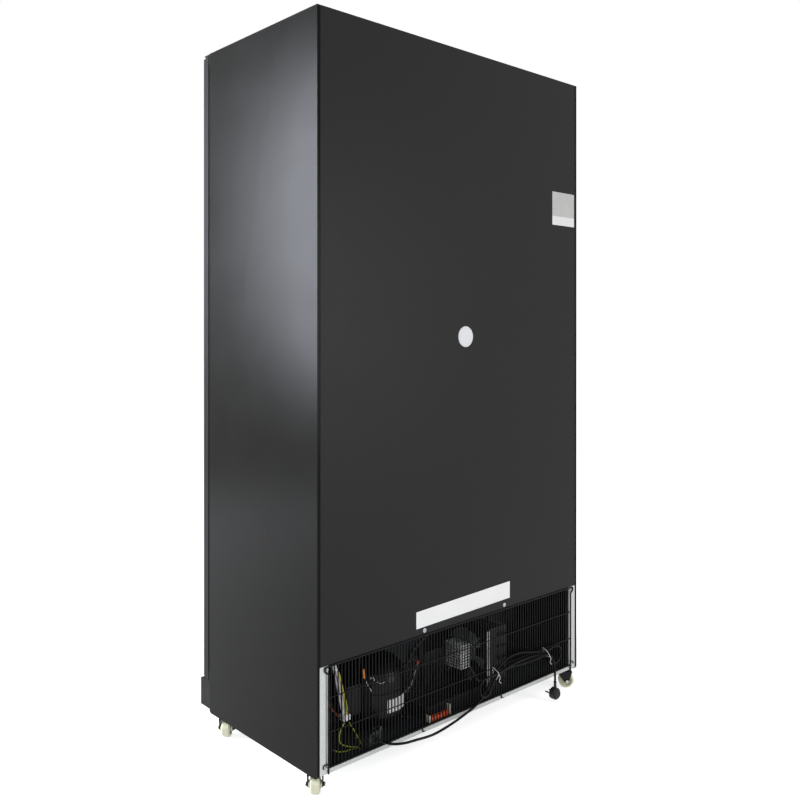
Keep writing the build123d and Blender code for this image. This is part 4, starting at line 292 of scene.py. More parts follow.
def foam_material(name):
    """Cream foam, with the seam beside the back panel filled black."""
    kit = Nodes(name)
    bsdf = kit.add("ShaderNodeBsdfPrincipled")
    cream = kit.cloud(kit.noise(6.0, 4.0), srgb(214, 198, 142), srgb(230, 214, 158))
    colour = kit.mix(kit.past("Y", SEAM_FRONT), cream, srgb(12, 12, 12))
    kit.link(colour, bsdf.inputs["Base Color"])
    kit.link(kit.spread(kit.noise(22.0), 0.84, 0.96), bsdf.inputs["Roughness"])
    kit.link(kit.bump(kit.noise(300.0), 0.4, 0.0006), bsdf.inputs["Normal"])
    return kit.finish(bsdf.outputs["BSDF"])


def make_materials():
    return {
        "side": surface(
            "side_paint",
            srgb(18, 18, 15),
            0.23,
            tone=0.04,
            cloud=2.0,
            bump=0.02,
            specular=0.05,
            spread=0.02,
        ),
        "back": surface(
            "back_paint",
            srgb(35, 35, 36),
            0.40,
            tone=0.02,
            cloud=2.0,
            bump=0.08,
            specular=0.09,
            spread=0.02,
        ),
        "black": surface("black_steel", srgb(17, 17, 18), 0.45, specular=0.1),
        "dark": surface("machine_room_steel", srgb(46, 54, 55), 0.6, specular=0.2),
        "galvanised": galvanised_material("galvanised_sheet"),
        # The pan's inside carries painted shade.
        "pan": galvanised_material("pan_sheet", painted_shade_inside=True),
        "white_plastic": surface(
            "cap_plastic", srgb(208, 210, 212), 0.45, tone=0.02, grain=600.0
        ),
        "white_metal": surface(
            "white_enamel", srgb(216, 217, 216), 0.3, tone=0.02, grain=1200.0
        ),
        "screw": surface("screw_enamel", srgb(178, 179, 180), 0.35, tone=0.05, cloud=60.0),
        "foam": foam_material("insulation"),
        "wire": surface("guard_wire", srgb(9, 9, 10), 0.5, tone=0.1, specular=0.15),
        "aluminium": surface(
            "door_aluminium",
            srgb(30, 30, 31),
            0.34,
            specular=0.06,
            stretch=(40, 40, 1),
            grain=60.0,
            bump=0.05,
        ),
        "glass": glass_material("door_pane"),
        "gasket": surface("gasket_rubber", srgb(30, 30, 31), 0.6, grain=500.0),
        "zinc": surface(
            "zinc_plate", srgb(170, 171, 172), 0.32, metallic=0.9, tone=0.12, cloud=40.0
        ),
        "castor": surface(
            "castor_paint", srgb(11, 11, 12), 0.35, tone=0.15, cloud=30.0, specular=0.2
        ),
        "nylon": surface(
            "cream_nylon",
            srgb(205, 205, 178),
            0.36,
            tone=0.05,
            cloud=30.0,
            grain=400.0,
            bump=0.08,
        ),
        "compressor": surface(
            "compressor_paint", srgb(5, 5, 6), 0.30, tone=0.2, cloud=18.0, specular=0.25
        ),
        "rubber": surface(
            "black_rubber", srgb(13, 13, 13), 0.55, grain=500.0, bump=0.2, specular=0.3
        ),
        "plastic": surface(
            "black_plastic", srgb(11, 11, 12), 0.42, grain=500.0, bump=0.15, specular=0.3
        ),
        "motor": surface(
            "motor_laminations",
            srgb(150, 151, 152),
            0.3,
            metallic=0.85,
            tone=0.5,
            cloud=12.0,
            stretch=(14, 14,
            0.4),
        ),
        "fan": surface(
            "fan_blades", srgb(138, 146, 142), 0.26, tone=0.1, cloud=30.0, specular=0.6
        ),
        "fins": surface("coil_fins", srgb(40, 41, 42), 0.5, metallic=0.5, tone=0.3, cloud=60.0),
        "pipe": surface(
            "pipe_paint", srgb(34, 28, 26), 0.4, metallic=0.5, tone=0.5, cloud=25.0
        ),
        "lamp": surface("lamp_cover", srgb(240, 240, 232), 0.3, tone=0.02),
        "chrome": surface(
            "rail_chrome",
            srgb(200, 201, 202),
            0.22,
            metallic=1.0,
            tone=0.05,
            stretch=(60, 60, 1),
        ),
        "shelf": surface("shelf_coating", srgb(214, 215, 214), 0.35, tone=0.03),
        "cord": surface(
            "cord_rubber",
            srgb(5, 5, 6),
            0.5,
            tone=0.12,
            cloud=60.0,
            grain=1500.0,
            bump=0.1,
            specular=0.1,
        ),
        "tie": surface(
            "tie_foil", srgb(222, 223, 224), 0.35, metallic=0.2, tone=0.08, cloud=200.0
        ),
    }


NODE_LOOKS = {
    "side": ("side_panel_right", "side_panel_left", "top_panel"),
    "back": ("back_panel",),
    "black": ("front_frame", "plinth_grille", "fan_shroud", "door_hinges"),
    "dark": ("machine_bulkhead", "evaporator_fan_motors"),
    "motor": ("condenser_fan_motor",),
    "fan": ("condenser_fan", "evaporator_fan_right", "evaporator_fan_left"),
    "galvanised": ("rear_corner_posts",),
    "pan": ("base_pan",),
    "white_plastic": ("foam_port_cap",),
    "white_metal": ("inner_liner", "evaporator_cover"),
    "screw": ("rear_screws",),
    "foam": ("insulation_foam",),
    "wire": ("rear_grille",),
    "aluminium": ("door_frame_right", "door_frame_left"),
    "glass": ("door_glass_right", "door_glass_left"),
    "gasket": ("door_gasket_right", "door_gasket_left"),
    "castor": (
        "castor_plates",
        "castor_fork_front_left",
        "castor_fork_front_right",
        "castor_fork_rear_left",
        "castor_fork_rear_right",
    ),
    "nylon": (
        "castor_wheel_front_left",
        "castor_wheel_front_right",
        "castor_wheel_rear_left",
        "castor_wheel_rear_right",
    ),
    "compressor": ("compressor",),
    "rubber": ("compressor_feet", "plug"),
    "plastic": (
        "compressor_terminal_cover",
        "drip_tray",
        "junction_box",
        "thermostat_knob",
        "light_switch",
        "cord_gland",
    ),
    "fins": ("condenser_coil", "evaporator_coil"),
    "pipe": ("refrigerant_pipes",),
    "lamp": ("led_lamps",),
    "chrome": ("shelf_rails", "shelf_clips"),
    "shelf": ("shelves_right", "shelves_left"),
    "tie": ("twist_ties",),
}


def smooth_group(limit):
    """Geometry nodes that shade smooth, except over edges sharper than the limit."""
    group = bpy.data.node_groups.new("smooth_by_angle", "GeometryNodeTree")
    group.interface.new_socket("Geometry", in_out="INPUT", socket_type="NodeSocketGeometry")
    group.interface.new_socket("Geometry", in_out="OUTPUT", socket_type="NodeSocketGeometry")
    entry = group.nodes.new("NodeGroupInput")
    leave = group.nodes.new("NodeGroupOutput")
    faces = group.nodes.new("GeometryNodeSetShadeSmooth")
    edges = group.nodes.new("GeometryNodeSetShadeSmooth")
    edges.domain = "EDGE"
    angle = group.nodes.new("GeometryNodeInputMeshEdgeAngle")
    flat_enough = group.nodes.new("FunctionNodeCompare")
    flat_enough.data_type = "FLOAT"
    flat_enough.operation = "LESS_THAN"
    flat_enough.inputs["B"].default_value = limit
    group.links.new(angle.outputs["Unsigned Angle"], flat_enough.inputs["A"])
    group.links.new(flat_enough.outputs["Result"], edges.inputs["Shade Smooth"])
    group.links.new(entry.outputs["Geometry"], faces.inputs["Geometry"])
    group.links.new(faces.outputs["Geometry"], edges.inputs["Geometry"])
    group.links.new(edges.outputs["Geometry"], leave.inputs["Geometry"])
    return group


SMOOTH_LIMIT = math.radians(35)


def dress_nodes(looks):
    """Gives every carried-over node its material and smooth shading."""
    smoothing = smooth_group(SMOOTH_LIMIT)
    for look, names in NODE_LOOKS.items():
        for name in names:
            node = nodes[name]
            for material_slot in node.material_slots:
                material_slot.material = looks[look]
            modifier = node.modifiers.new("smooth", "NODES")
            modifier.node_group = smoothing


# Pieces made here


def keep(piece, material, body=CABINET):
    """Gives a piece its material and its body."""
    piece.data.materials.append(material)
    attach(piece, body)
    return piece


CURVE_STEPS = 10
CURVE_ORDER = 3


def curve_piece(name, points, radius, sides=3):
    """A round NURBS curve that follows the given points, in metres."""
    data = bpy.data.curves.new(name, "CURVE")
    data.dimensions = "3D"
    data.bevel_depth = radius
    data.bevel_resolution = sides
    data.use_fill_caps = True
    data.resolution_u = CURVE_STEPS
    spline = data.splines.new("NURBS")
    spline.points.add(len(points) - 1)
    for point, place in zip(spline.points, points):
        point.co = (*place, 1.0)
    spline.order_u = CURVE_ORDER
    spline.use_endpoint_u = True
    piece = bpy.data.objects.new(name, data)
    bpy.context.collection.objects.link(piece)
    return piece


def mesh_piece(name, vertices, faces):
    """A mesh object from its points and faces."""
    data = bpy.data.meshes.new(name)
    data.from_pydata([tuple(vertex) for vertex in vertices], [], faces)
    data.validate()
    data.update()
    piece = bpy.data.objects.new(name, data)
    bpy.context.collection.objects.link(piece)
    return piece


def lathe(name, profile, origin, along, sides=24):
    """A body of revolution from (radius, distance along the axis) points, with smooth faces."""
    turn = Vector((0, 0, 1)).rotation_difference(Vector(along)).to_matrix()
    vertices = []
    for radius, height in profile:
        for side in range(sides):
            angle = 2 * math.pi * side / sides
            local = Vector((radius * math.cos(angle), radius * math.sin(angle), height))
            vertices.append(Vector(origin) + turn @ local)
    faces = []
    for ring in range(len(profile) - 1):
        for side in range(sides):
            following = (side + 1) % sides
            first = ring * sides
            second = first + sides
            faces.append((first + side, first + following, second + following, second + side))
    faces.append(tuple(reversed(range(sides))))
    last = (len(profile) - 1) * sides
    faces.append(tuple(range(last, last + sides)))
    piece = mesh_piece(name, vertices, faces)
    piece.data.shade_smooth()
    return piece


def plate(name, corners, normal, thickness, bevel):
    """A thin plate with rounded edges over four given corners."""
    lift = Vector(normal).normalized() * thickness
    base = [Vector(corner) for corner in corners]
    vertices = base + [corner + lift for corner in base]
    faces = [(3, 2, 1, 0), (4, 5, 6, 7)]
    for side in range(4):
        following = (side + 1) % 4
        faces.append((side, following, following + 4, side + 4))
    piece = mesh_piece(name, vertices, faces)
    shape = bmesh.new()
    shape.from_mesh(piece.data)
    bmesh.ops.recalc_face_normals(shape, faces=shape.faces)
    shape.to_mesh(piece.data)
    shape.free()
    modifier = piece.modifiers.new("bevel", "BEVEL")
    modifier.width = bevel
    modifier.segments = 2
    return piece


def box_piece(name, low, high, bevel):
    """A box between two corners, with rounded edges."""
    x0, y0, z0 = low
    x1, y1, z1 = high
    base = ((x0, y0, z0), (x1, y0, z0), (x1, y1, z0), (x0, y1, z0))
    return plate(name, base, (0, 0, 1), z1 - z0, bevel)


# Mains cord: the route's points, as the CAD has them, in metres

CORD_DIAMETER = 0.007
CORD_EXIT = (0.33925, 0.283, 0.101)
CORD_ROUTE = (
    CORD_EXIT,
    (0.33925, 0.3135, 0.101),
    (0.327, 0.341, 0.102),
    (0.298, 0.354, 0.101),
    (0.245, 0.338, 0.087),
    (0.198, 0.320, 0.0715),
    (0.150, 0.307, 0.0605),
    (0.100, 0.300, 0.0595),
    (0.050, 0.298, 0.0655),
    (0.002, 0.298, 0.076),
    (-0.040, 0.298, 0.0866),
    (-0.072, 0.298, 0.107),
    (-0.0845, 0.298, 0.1205),
)
HANK_OUTWARD = (
    (-0.097, 0.298, 0.134),
    (-0.120, 0.298, 0.1618),
    (-0.148, 0.298, 0.180),
    (-0.188, 0.298, 0.192),
    (-0.232, 0.298, 0.192),
    (-0.280, 0.298, 0.182),
    (-0.328, 0.298, 0.169),
    (-0.366, 0.298, 0.1638),
)
HANK_RETURN = (
    (-0.377, 0.298, 0.149),
    (-0.356, 0.298, 0.157),
    (-0.318, 0.299, 0.163),
    (-0.270, 0.302, 0.168),
    (-0.222, 0.304, 0.170),
    (-0.175, 0.306, 0.166),
    (-0.140, 0.306, 0.161),
    (-0.120, 0.306, 0.159),
)
HANK_LAST = (
    (-0.113, 0.2995, 0.140),
    (-0.132, 0.298, 0.152),
    (-0.168, 0.298, 0.159),
    (-0.215, 0.300, 0.158),
    (-0.268, 0.303, 0.155),
    (-0.318, 0.3065, 0.1565),
    (-0.352, 0.308, 0.159),
    (-0.372, 0.3095, 0.151),
    (-0.384, 0.312, 0.131),
    (-0.386, 0.3135, 0.119),
)
TAIL_ROUTE = (
    (-0.388, 0.315, 0.107),
    (-0.388, 0.316, 0.086),
    (-0.388, 0.316, 0.066),
)
LOOP_RADIUS = 0.029
FAR_LOOP = ((-0.414, 0.142), (75, 120, 165, 210, 255, 300, 340), (0.298,) * 7)
NEAR_LOOP = ((-0.070, 0.131), (105, 60, 15, -30, -75, -120, -165), (*((0.306,) * 5), 0.305, 0.302))


def loop_points(centre, angles, depths):
    """Points around one of the hank's two end loops, in the plane of the back."""
    x, z = centre
    points = []
    for angle, y in zip(angles, depths):
        turn = math.radians(angle)
        points.append((x + LOOP_RADIUS * math.cos(turn), y, z + LOOP_RADIUS * math.sin(turn)))
    return points


RELIEF_PROFILE = (
    (0.0036, 0.0),
    (0.0044, 0.0004),
    (0.0044, 0.004),
    (0.0041, 0.0046),
    (0.0044, 0.0054),
    (0.0043, 0.009),
    (0.0040, 0.0096),
    (0.0043, 0.0104),
    (0.0041, 0.015),
    (0.0038, 0.0215),
    (0.0036, 0.022),
)


def add_cord(looks):
    """The mains cord with its hank as one curve, and the strain relief at its exit."""
    route = [
        *CORD_ROUTE,
        *HANK_OUTWARD,
        *loop_points(*FAR_LOOP),
        *HANK_RETURN,
        *loop_points(*NEAR_LOOP),
        *HANK_LAST,
        *TAIL_ROUTE,
    ]
    cord = curve_piece("mains_cord", route, CORD_DIAMETER / 2, 5)
    keep(cord, looks["cord"])
    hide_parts("power_cord", "cord_hank", "cord_tail")
    relief = lathe("strain_relief", RELIEF_PROFILE, CORD_EXIT, (0, 1, 0))
    keep(relief, looks["rubber"])


# Loose leads in the machine room, in the place of the plain harness

LEAD_X = 0.458
LEAD_Y = 0.240
BLOCK_TOP = 0.178
ROOM_CEILING = 0.3395
ROOM_FLOOR = 0.0675
WIRE_COLOURS = {
    "white_wire": ((242, 242, 240), 0.04),
    "orange_sleeve": ((226, 140, 40), 0.08),
    "grey_wire": ((188, 190, 196), 0.08),
    "yellow_wire": ((206, 186, 60), 0.08),
    "red_wire": ((120, 24, 34), 0.08),
}
EARTH_RADIUS = 0.0016
WIRE_RUNS = {
    "wire_trunk": ("white_wire", 0.0042, (
        (LEAD_X - 0.002, LEAD_Y, ROOM_CEILING),
        (LEAD_X - 0.008, LEAD_Y, 0.318),
        (LEAD_X - 0.020, LEAD_Y + 0.001, 0.285),
        (LEAD_X - 0.031, LEAD_Y, 0.240),
        (LEAD_X - 0.038, LEAD_Y, 0.205),
        (LEAD_X - 0.040, LEAD_Y, BLOCK_TOP),
    )),
    "wire_sleeve": ("black", 0.006, (
        (LEAD_X + 0.020, LEAD_Y - 0.014, ROOM_CEILING),
        (LEAD_X + 0.016, LEAD_Y - 0.014, 0.300),
        (LEAD_X + 0.004, LEAD_Y - 0.015, 0.262),
        (LEAD_X - 0.002, LEAD_Y - 0.014, 0.222),
        (LEAD_X - 0.014, LEAD_Y - 0.012, 0.186),
        (LEAD_X - 0.032, LEAD_Y - 0.008, 0.164),
    )),
    "wire_earth": ("earth", EARTH_RADIUS, (
        (LEAD_X - 0.026, LEAD_Y + 0.008, 0.270),
        (LEAD_X - 0.034, LEAD_Y + 0.009, 0.236),
        (LEAD_X - 0.044, LEAD_Y + 0.008, 0.206),
        (LEAD_X - 0.050, LEAD_Y + 0.008, BLOCK_TOP),
    )),
    "wire_earth_loop": ("earth", EARTH_RADIUS, (
        (LEAD_X - 0.040, LEAD_Y + 0.006, 0.156),
        (LEAD_X - 0.030, LEAD_Y + 0.008, 0.150),
        (LEAD_X - 0.018, LEAD_Y + 0.008, 0.128),
        (LEAD_X - 0.022, LEAD_Y + 0.008, 0.104),
        (LEAD_X - 0.052, LEAD_Y + 0.007, 0.088),
        (LEAD_X - 0.086, LEAD_Y + 0.004, 0.076),
        (LEAD_X - 0.096, LEAD_Y + 0.002, ROOM_FLOOR),
    )),
    "wire_lead": ("earth", EARTH_RADIUS, (
        (LEAD_X - 0.056, LEAD_Y - 0.002, 0.156),
        (LEAD_X - 0.066, LEAD_Y - 0.002, 0.138),
        (LEAD_X - 0.086, LEAD_Y - 0.002, 0.108),
        (LEAD_X - 0.108, LEAD_Y - 0.002, ROOM_FLOOR),
    )),
    "wire_motor": ("black", 0.003, (
        (0.3485, 0.181, 0.2195),
        (0.3475, 0.187, 0.236),
        (0.3465, 0.209, 0.252),
        (0.3445, 0.221, 0.281),
        (0.3445, 0.221, ROOM_CEILING),
    )),
    "wire_orange_sleeve": ("orange_sleeve", 0.0040, (
        (0.3300, 0.215, 0.2640),
        (0.3290, 0.216, 0.2540),
        (0.3259, 0.215, 0.2400),
    )),
    "wire_sensor": ("grey_wire", 0.0014, (
        (0.3300, 0.215, 0.2640),
        (0.3259, 0.215, 0.2392),
        (0.3044, 0.217, 0.2004),
        (0.2716, 0.215, 0.1579),
        (0.2642, 0.213, 0.1280),
        (0.2560, 0.207, 0.1000),
        (0.2560, 0.203, ROOM_FLOOR),
    )),
    "wire_earth_low": ("earth", EARTH_RADIUS, (
        (0.4487, 0.235, 0.0892),
        (0.4320, 0.236, 0.0765),
        (0.3914, 0.235, 0.0700),
        (0.3707, 0.235, 0.0690),
    )),
    "wire_grey": ("grey_wire", 0.0026, (
        (LEAD_X + 0.006, LEAD_Y + 0.006, ROOM_CEILING),
        (LEAD_X - 0.002, LEAD_Y + 0.008, 0.300),
        (LEAD_X - 0.012, LEAD_Y + 0.008, 0.262),
        (LEAD_X - 0.024, LEAD_Y + 0.006, 0.214),
        (LEAD_X - 0.034, LEAD_Y + 0.004, BLOCK_TOP),
    )),
    "wire_yellow": ("yellow_wire", 0.0024, (
        (LEAD_X - 0.014, LEAD_Y + 0.012, 0.297),
        (LEAD_X - 0.024, LEAD_Y + 0.014, 0.263),
        (LEAD_X - 0.034, LEAD_Y + 0.012, 0.218),
        (LEAD_X - 0.044, LEAD_Y + 0.006, BLOCK_TOP),
    )),
    "wire_red": ("red_wire", 0.0022, (
        (LEAD_X + 0.018, LEAD_Y - 0.004, 0.262),
        (LEAD_X + 0.012, LEAD_Y - 0.002, 0.226),
        (LEAD_X - 0.006, LEAD_Y - 0.002, 0.190),
        (LEAD_X - 0.030, LEAD_Y - 0.004, 0.170),
    )),
}
WIRE_BLOCK = ((0.402, 0.229, 0.160), (0.424, 0.251, 0.175))
WIRE_BLOCK_BEVEL = 0.0012


def wire_material(name):
    colour, tone = WIRE_COLOURS[name]
    return surface(name, srgb(*colour), 0.4, tone=tone, cloud=80.0)


def add_wires(looks):
    """The leads in the rear corner and over the compressor, with the white plug block."""
    materials = {name: wire_material(name) for name in WIRE_COLOURS}
    materials["black"] = looks["cord"]
    materials["earth"] = two_tone_wire("earth_wire", srgb(205, 190, 40), srgb(60, 140, 70))
    for name, (material, radius, points) in WIRE_RUNS.items():
        curve = curve_piece(name, points, radius)
        wire = keep(curve, materials[material])
        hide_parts("wiring_harness")
    plug_block = box_piece("wire_block", *WIRE_BLOCK, WIRE_BLOCK_BEVEL)
    keep(plug_block, materials["white_wire"])
    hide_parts("wiring_harness")


# Terminal strip in the place of the plain wiring box

RIB_DROP = 0.016
RIB_DEPTH = 0.014
RIB_COUNT = 6
RIB_GAP = 0.001
RIB_BEVEL = 0.0015
STRIP_BASE = 0.012
STRIP_BEVEL = 0.001
END_WIDTH = 0.006
NEAR_END_WIDTH = 0.005
NEAR_END_DROP = 0.008


def add_terminal_strip(looks):
    """A ribbed terminal strip with pale end posts."""
    (x0, y0, z0), (x1, y1, z1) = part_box("junction_box")
    traits = {"cloud": 60.0, "grain": 600.0}
    red = surface("terminal_red", srgb(212, 80, 42), 0.4, tone=0.08, **traits)
    pale = surface("terminal_pale", srgb(226, 222, 208), 0.45, tone=0.04, **traits)
    floor = z0 + STRIP_BASE
    front = y1 - RIB_DEPTH
    base = box_piece("terminal_base", (x0, y0, z0), (x1, y1, floor), STRIP_BEVEL)
    pieces = [keep(base, looks["plastic"])]
    pitch = (x1 - x0 - 2 * END_WIDTH) / RIB_COUNT
    for place in range(RIB_COUNT):
        start = x0 + END_WIDTH + place * pitch
        low = (start + RIB_GAP, front, floor)
        high = (start + pitch - RIB_GAP, y1, z1 - RIB_DROP)
        pieces.append(keep(box_piece(f"terminal_rib_{place}", low, high, RIB_BEVEL), red))
    ends = (
        ("terminal_end_a", x0, END_WIDTH, 0.0),
        ("terminal_end_b", x1 - END_WIDTH, NEAR_END_WIDTH, NEAR_END_DROP),
    )
    for name, start, wide, drop in ends:
        low = (start + RIB_GAP, front, floor)
        high = (start + wide - RIB_GAP, y1, z1 - drop)
        pieces.append(keep(box_piece(name, low, high, STRIP_BEVEL), pale))
    for piece in pieces:
        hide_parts("junction_box")


# Compressor's and fan's trim

LABEL_RADIUS = 0.0886
LABEL_LOW = 0.131
LABEL_HIGH = 0.167
LABEL_THICKNESS = 0.0003
LABEL_TURNS = range(74, 123, 8)
RIVET_COUNT = 9
RIVET_START = 0.170
RIVET_PITCH = 0.0135
RIVET_SIDES = 10
BASE_PLATE_EDGE = (0.1999, 0.0815)
RIVET_PROFILE = ((0.0016, 0.0), (0.0016, 0.0004), (0.0010, 0.0010), (0.0002, 0.0012))


def add_compressor_details(looks):
    """The blank label on the shell and the row of rivets on the base plate's edge."""
    low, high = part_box("compressor")
    centre_x = (low[0] + high[0]) / 2
    centre_y = (low[1] + high[1]) / 2
    label = surface(
        "label_paper", srgb(226, 226, 224), 0.5, tone=0.03, cloud=60.0, grain=900.0
    )
    columns = [math.radians(turn) for turn in LABEL_TURNS]
    vertices = []
    for turn in columns:
        x = centre_x + LABEL_RADIUS * math.cos(turn)
        y = centre_y + LABEL_RADIUS * math.sin(turn)
        vertices += [(x, y, LABEL_LOW), (x, y, LABEL_HIGH)]
    faces = [(2 * i, 2 * i + 2, 2 * i + 3, 2 * i + 1) for i in range(len(columns) - 1)]
    paper = mesh_piece("compressor_label", vertices, faces)
    thickness = paper.modifiers.new("thickness", "SOLIDIFY")
    thickness.thickness = LABEL_THICKNESS
    keep(paper, label)
    for place in range(RIVET_COUNT):
        origin = (RIVET_START + place * RIVET_PITCH, *BASE_PLATE_EDGE)
        rivet = lathe(f"base_rivet_{place}", RIVET_PROFILE, origin, (0, 1, 0), RIVET_SIDES)
        keep(rivet, looks["zinc"])


STACK_X = -0.112
STACK_Y = 0.149
STACK_LOW = 0.143
STACK_HALF_WIDTH = 0.022
STACK_HALF_DEPTH = 0.036
STACK_COUNT = 9
STACK_PITCH = 0.0086
STACK_SHEET = 0.0036
TRIM_BEVEL = 0.0006


def add_motor_ribs():
    """The bright sheet stack around the condenser fan's motor."""
    bright = surface("stack_steel", srgb(226, 228, 228), 0.3, tone=0.2, cloud=90.0)
    for place in range(STACK_COUNT):
        z = STACK_LOW + place * STACK_PITCH
        low = (STACK_X - STACK_HALF_WIDTH, STACK_Y - STACK_HALF_DEPTH, z)
        high = (STACK_X + STACK_HALF_WIDTH, STACK_Y + STACK_HALF_DEPTH, z + STACK_SHEET)
        rib = box_piece(f"motor_rib_{place}", low, high, TRIM_BEVEL)
        keep(rib, bright)


DUCT_EDGES = (("duct_edge_outer", -0.1500), ("duct_edge_inner", -0.1580))
DUCT_EDGE_WIDTH = 0.0042


def add_duct_edges(looks):
    """The two bright folded edges of the fan duct that face the guard."""
    for name, start in DUCT_EDGES:
        low = (start, 0.2403, 0.078)
        high = (start + DUCT_EDGE_WIDTH, 0.2425, 0.262)
        keep(box_piece(name, low, high, TRIM_BEVEL), looks["zinc"])


TUBE_RADIUS = 0.0018
TUBE_ROUTE = (
    (0.166, 0.2045, 0.156),
    (0.152, 0.214, 0.164),
    (0.142, 0.2155, 0.190),
    (0.1222, 0.215, 0.2337),
)
TUBE_CAP_SIDES = 12
TUBE_CAP_PROFILE = (
    (0.0026, -0.009),
    (0.0040, -0.008),
    (0.0040, 0.001),
    (0.0026, 0.003),
    (0.0004, 0.0034),
)


def add_service_tube():
    """The capped charging tube that stands off the compressor's shell."""
    steel = surface(
        "tube_steel", srgb(120, 118, 118), 0.25, metallic=0.9, tone=0.08, cloud=80.0
    )
    red = surface("cap_red", srgb(176, 30, 26), 0.35, tone=0.06, cloud=80.0)
    tube = curve_piece("service_tube", TUBE_ROUTE, TUBE_RADIUS)
    keep(tube, steel)
    end = TUBE_ROUTE[-1]
    along = Vector(end) - Vector(TUBE_ROUTE[-2])
    cap = lathe("service_cap", TUBE_CAP_PROFILE, end, along, TUBE_CAP_SIDES)
    keep(cap, red)


CLIP_RADIUS = 0.0009
CLIP_ROUTES = {
    "shell_clip": (
        (0.2892, 0.2273, 0.2212),
        (0.2845, 0.2303, 0.2180),
        (0.2795, 0.2333, 0.2164),
        (0.2740, 0.2358, 0.2178),
        (0.2689, 0.2380, 0.2205),
    ),
    "shell_clip_loop": (
        (0.3031, 0.2151, 0.2304),
        (0.3006, 0.2177, 0.2363),
        (0.2966, 0.2215, 0.2344),
        (0.2951, 0.2227, 0.2250),
    ),
}


def add_shell_clip():
    """The thin wire clip on the compressor's shoulder, near-white as a painted highlight there."""
    # Painted highlight: the clip's matte near-white stands in for glints on the compressor's
    # shoulder.
    bright = surface("clip_painted_highlight", srgb(216, 218, 220), 0.3, tone=0.08, cloud=80.0)
    for name, route in CLIP_ROUTES.items():
        keep(curve_piece(name, route, CLIP_RADIUS), bright)


# Castor axles: each body's place in plan and the axle's direction there

AXLE_REACH = 0.0243
AXLE_HEIGHT = 0.025
AXLE_PLACES = {
    "castor_front_left": (-0.503991, -0.182748, -0.927184, -0.374607),
    "castor_front_right": (0.512264, -0.188328, -0.694658, 0.71934),
    "castor_rear_left": (-0.512751, 0.264152, -0.673013, -0.739631),
    "castor_rear_right": (0.511152, 0.241751, -0.739631, 0.673013),
}
AXLE_CAP_SIDES = 14
AXLE_CAP_PROFILE = (
    (0.0056, 0.0),
    (0.0056, 0.0006),
    (0.0046, 0.0016),
    (0.0024, 0.0023),
    (0.0003, 0.0025),
)


def add_axle_caps(looks):
    """Domed bright caps on both heads of every castor's axle, which turn with the fork."""
    for body, (x, y, along_x, along_y) in AXLE_PLACES.items():
        for side, end in ((-1, "inner"), (1, "outer")):
            reach = side * AXLE_REACH
            place = (x + reach * along_x, y + reach * along_y, AXLE_HEIGHT)
            along = (side * along_x, side * along_y, 0)
            cap = lathe(f"axle_cap_{body}_{end}", AXLE_CAP_PROFILE, place, along, AXLE_CAP_SIDES)
            keep(cap, looks["zinc"], body)


# Bare plates on the back panel, with their corners as (x, z)

PLATE_THICKNESS = 0.0006
PLATE_BEVEL = 0.0002
PLATES = {
    "blank_strip": (
        "strip_white",
        ((0.198, 0.361), (-0.198, 0.368), (-0.198, 0.419), (0.198, 0.408)),
    ),
    "blank_plate_upper": (
        "plate_silver",
        ((-0.410, 1.565), (-0.526, 1.565), (-0.526, 1.644), (-0.410, 1.644)),
    ),
    "blank_plate_lower": (
        "plate_paper",
        ((-0.410, 1.536), (-0.526, 1.536), (-0.526, 1.565), (-0.410, 1.565)),
    ),
}


def add_labels():
    """The word strip and the rating plate, both blank."""
    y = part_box("back_panel")[1][1]
    paper = {"tone": 0.015, "cloud": 12.0, "grain": 1500.0, "bump": 0.04}
    silver = {"metallic": 0.2, "tone": 0.05, "cloud": 20.0, "grain": 1500.0}
    materials = {
        "strip_white": surface("strip_white", srgb(229, 229, 229), 0.4, **paper),
        "plate_paper": surface("plate_paper", srgb(213, 213, 213), 0.5, **paper),
        "plate_silver": surface("plate_silver", srgb(175, 175, 174), 0.35, **silver),
    }
    for name, (material, corners) in PLATES.items():
        places = [(x, y, z) for x, z in corners]
        piece = plate(name, places, (0, 1, 0), PLATE_THICKNESS, PLATE_BEVEL)
        keep(piece, materials[material])


# Stage: a pale floor, a white surrounding and soft lamps

FLOOR_REACH = 30
FLOOR_GLOW = 0.62
WORLD_LIGHT = 0.55
WORLD_WHITE = 1.0


def stage_material():
    """Pale floor that stays white to the camera but keeps the object's shadow."""
    kit = Nodes("stage_floor")
    diffuse = kit.add("ShaderNodeBsdfDiffuse")
    tones = kit.cloud(kit.noise(0.8, 2.0), (0.80, 0.80, 0.80, 1), (0.82, 0.82, 0.82, 1))
    kit.link(tones, diffuse.inputs["Color"])
    strength = kit.add("ShaderNodeMath", operation="MULTIPLY")
    kit.link(kit.seen(), strength.inputs[0])
    strength.inputs[1].default_value = FLOOR_GLOW
    glow = kit.add("ShaderNodeEmission")
    kit.link(strength.outputs["Value"], glow.inputs["Strength"])
    both = kit.add("ShaderNodeAddShader")
    kit.link(diffuse.outputs["BSDF"], both.inputs[0])
    kit.link(glow.outputs["Emission"], both.inputs[1])
    return kit.finish(both.outputs["Shader"])


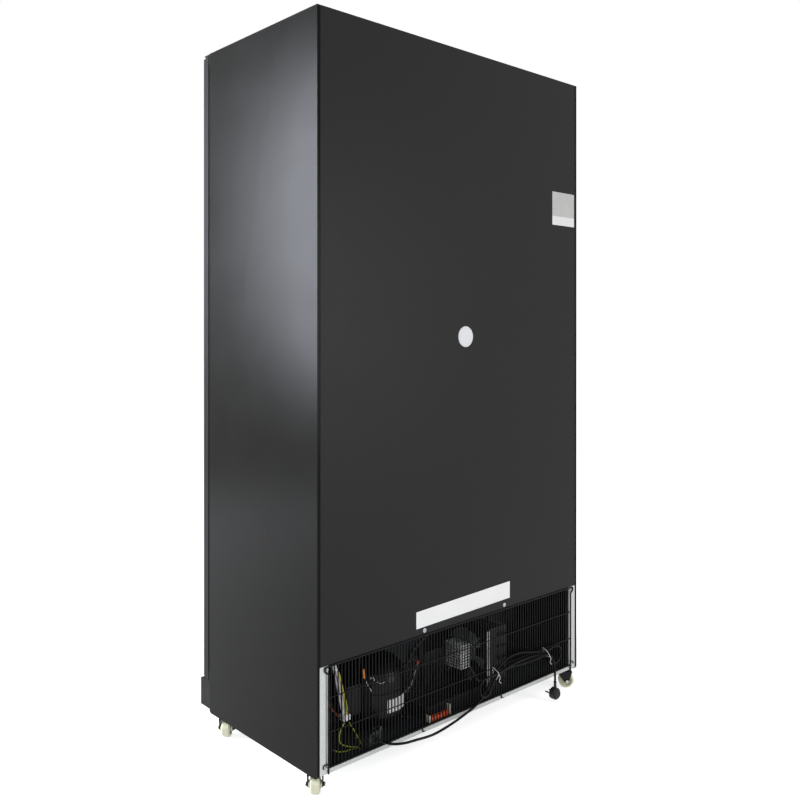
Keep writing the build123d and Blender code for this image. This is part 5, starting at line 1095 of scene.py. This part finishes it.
def add_stage():
    reach = FLOOR_REACH
    corners = ((-reach, -reach, 0), (reach, -reach, 0), (reach, reach, 0), (-reach, reach, 0))
    floor = mesh_piece("stage_floor", corners, [(0, 1, 2, 3)])
    floor.data.materials.append(stage_material())


def add_world():
    """Soft even light, with plain white where the camera or a reflection looks past the object."""
    kit = Nodes("studio", bpy.data.worlds, "ShaderNodeOutputWorld")
    mix = kit.add("ShaderNodeMixShader")
    kit.link(kit.seen(), mix.inputs["Fac"])
    for place, strength in ((1, WORLD_LIGHT), (2, WORLD_WHITE)):
        background = kit.add("ShaderNodeBackground")
        background.inputs["Color"].default_value = (1, 1, 1, 1)
        background.inputs["Strength"].default_value = strength
        kit.link(background.outputs["Background"], mix.inputs[place])
    bpy.context.scene.world = kit.finish(mix.outputs["Shader"])


WHITE_LIGHT = (1, 1, 1)
SOFTBOX_BLUE = (0.86, 0.89, 1.0)
LAMPS = (
    ("key", (4.2, 2.6, 3.2), (0.3, 0.0, 1.1), (1.6, 2.2), 80, "RECTANGLE", WHITE_LIGHT),
    ("fill", (-1.35, 3.45, 1.32), (0.25, 0.2, 1.1), (1.4, 1.6), 44, "RECTANGLE", WHITE_LIGHT),
    ("side_glow", (3.5, -2.95, 1.96), (0.54, 0.15, 1.4), (1.6, 2.7), 365, "ELLIPSE", SOFTBOX_BLUE),
)


def area_lamp(name, place, target, size, power, shape, colour):
    """A soft lamp at a place, turned to a target."""
    data = bpy.data.lights.new(name, "AREA")
    data.shape = shape
    data.color = colour
    data.size, data.size_y = size
    data.energy = power
    lamp = bpy.data.objects.new(name, data)
    lamp.location = place
    lamp.rotation_euler = (Vector(target) - Vector(place)).to_track_quat("-Z", "Y").to_euler()
    bpy.context.collection.objects.link(lamp)


def add_light():
    add_world()
    for lamp in LAMPS:
        area_lamp(*lamp)
    bpy.context.scene.view_settings.view_transform = "Standard"


looks = make_materials()
add_camera()
dress_nodes(looks)
add_cord(looks)
add_wires(looks)
add_terminal_strip(looks)
add_compressor_details(looks)
add_motor_ribs()
add_duct_edges(looks)
add_service_tube()
add_shell_clip()
add_axle_caps(looks)
add_labels()
add_stage()
add_light()
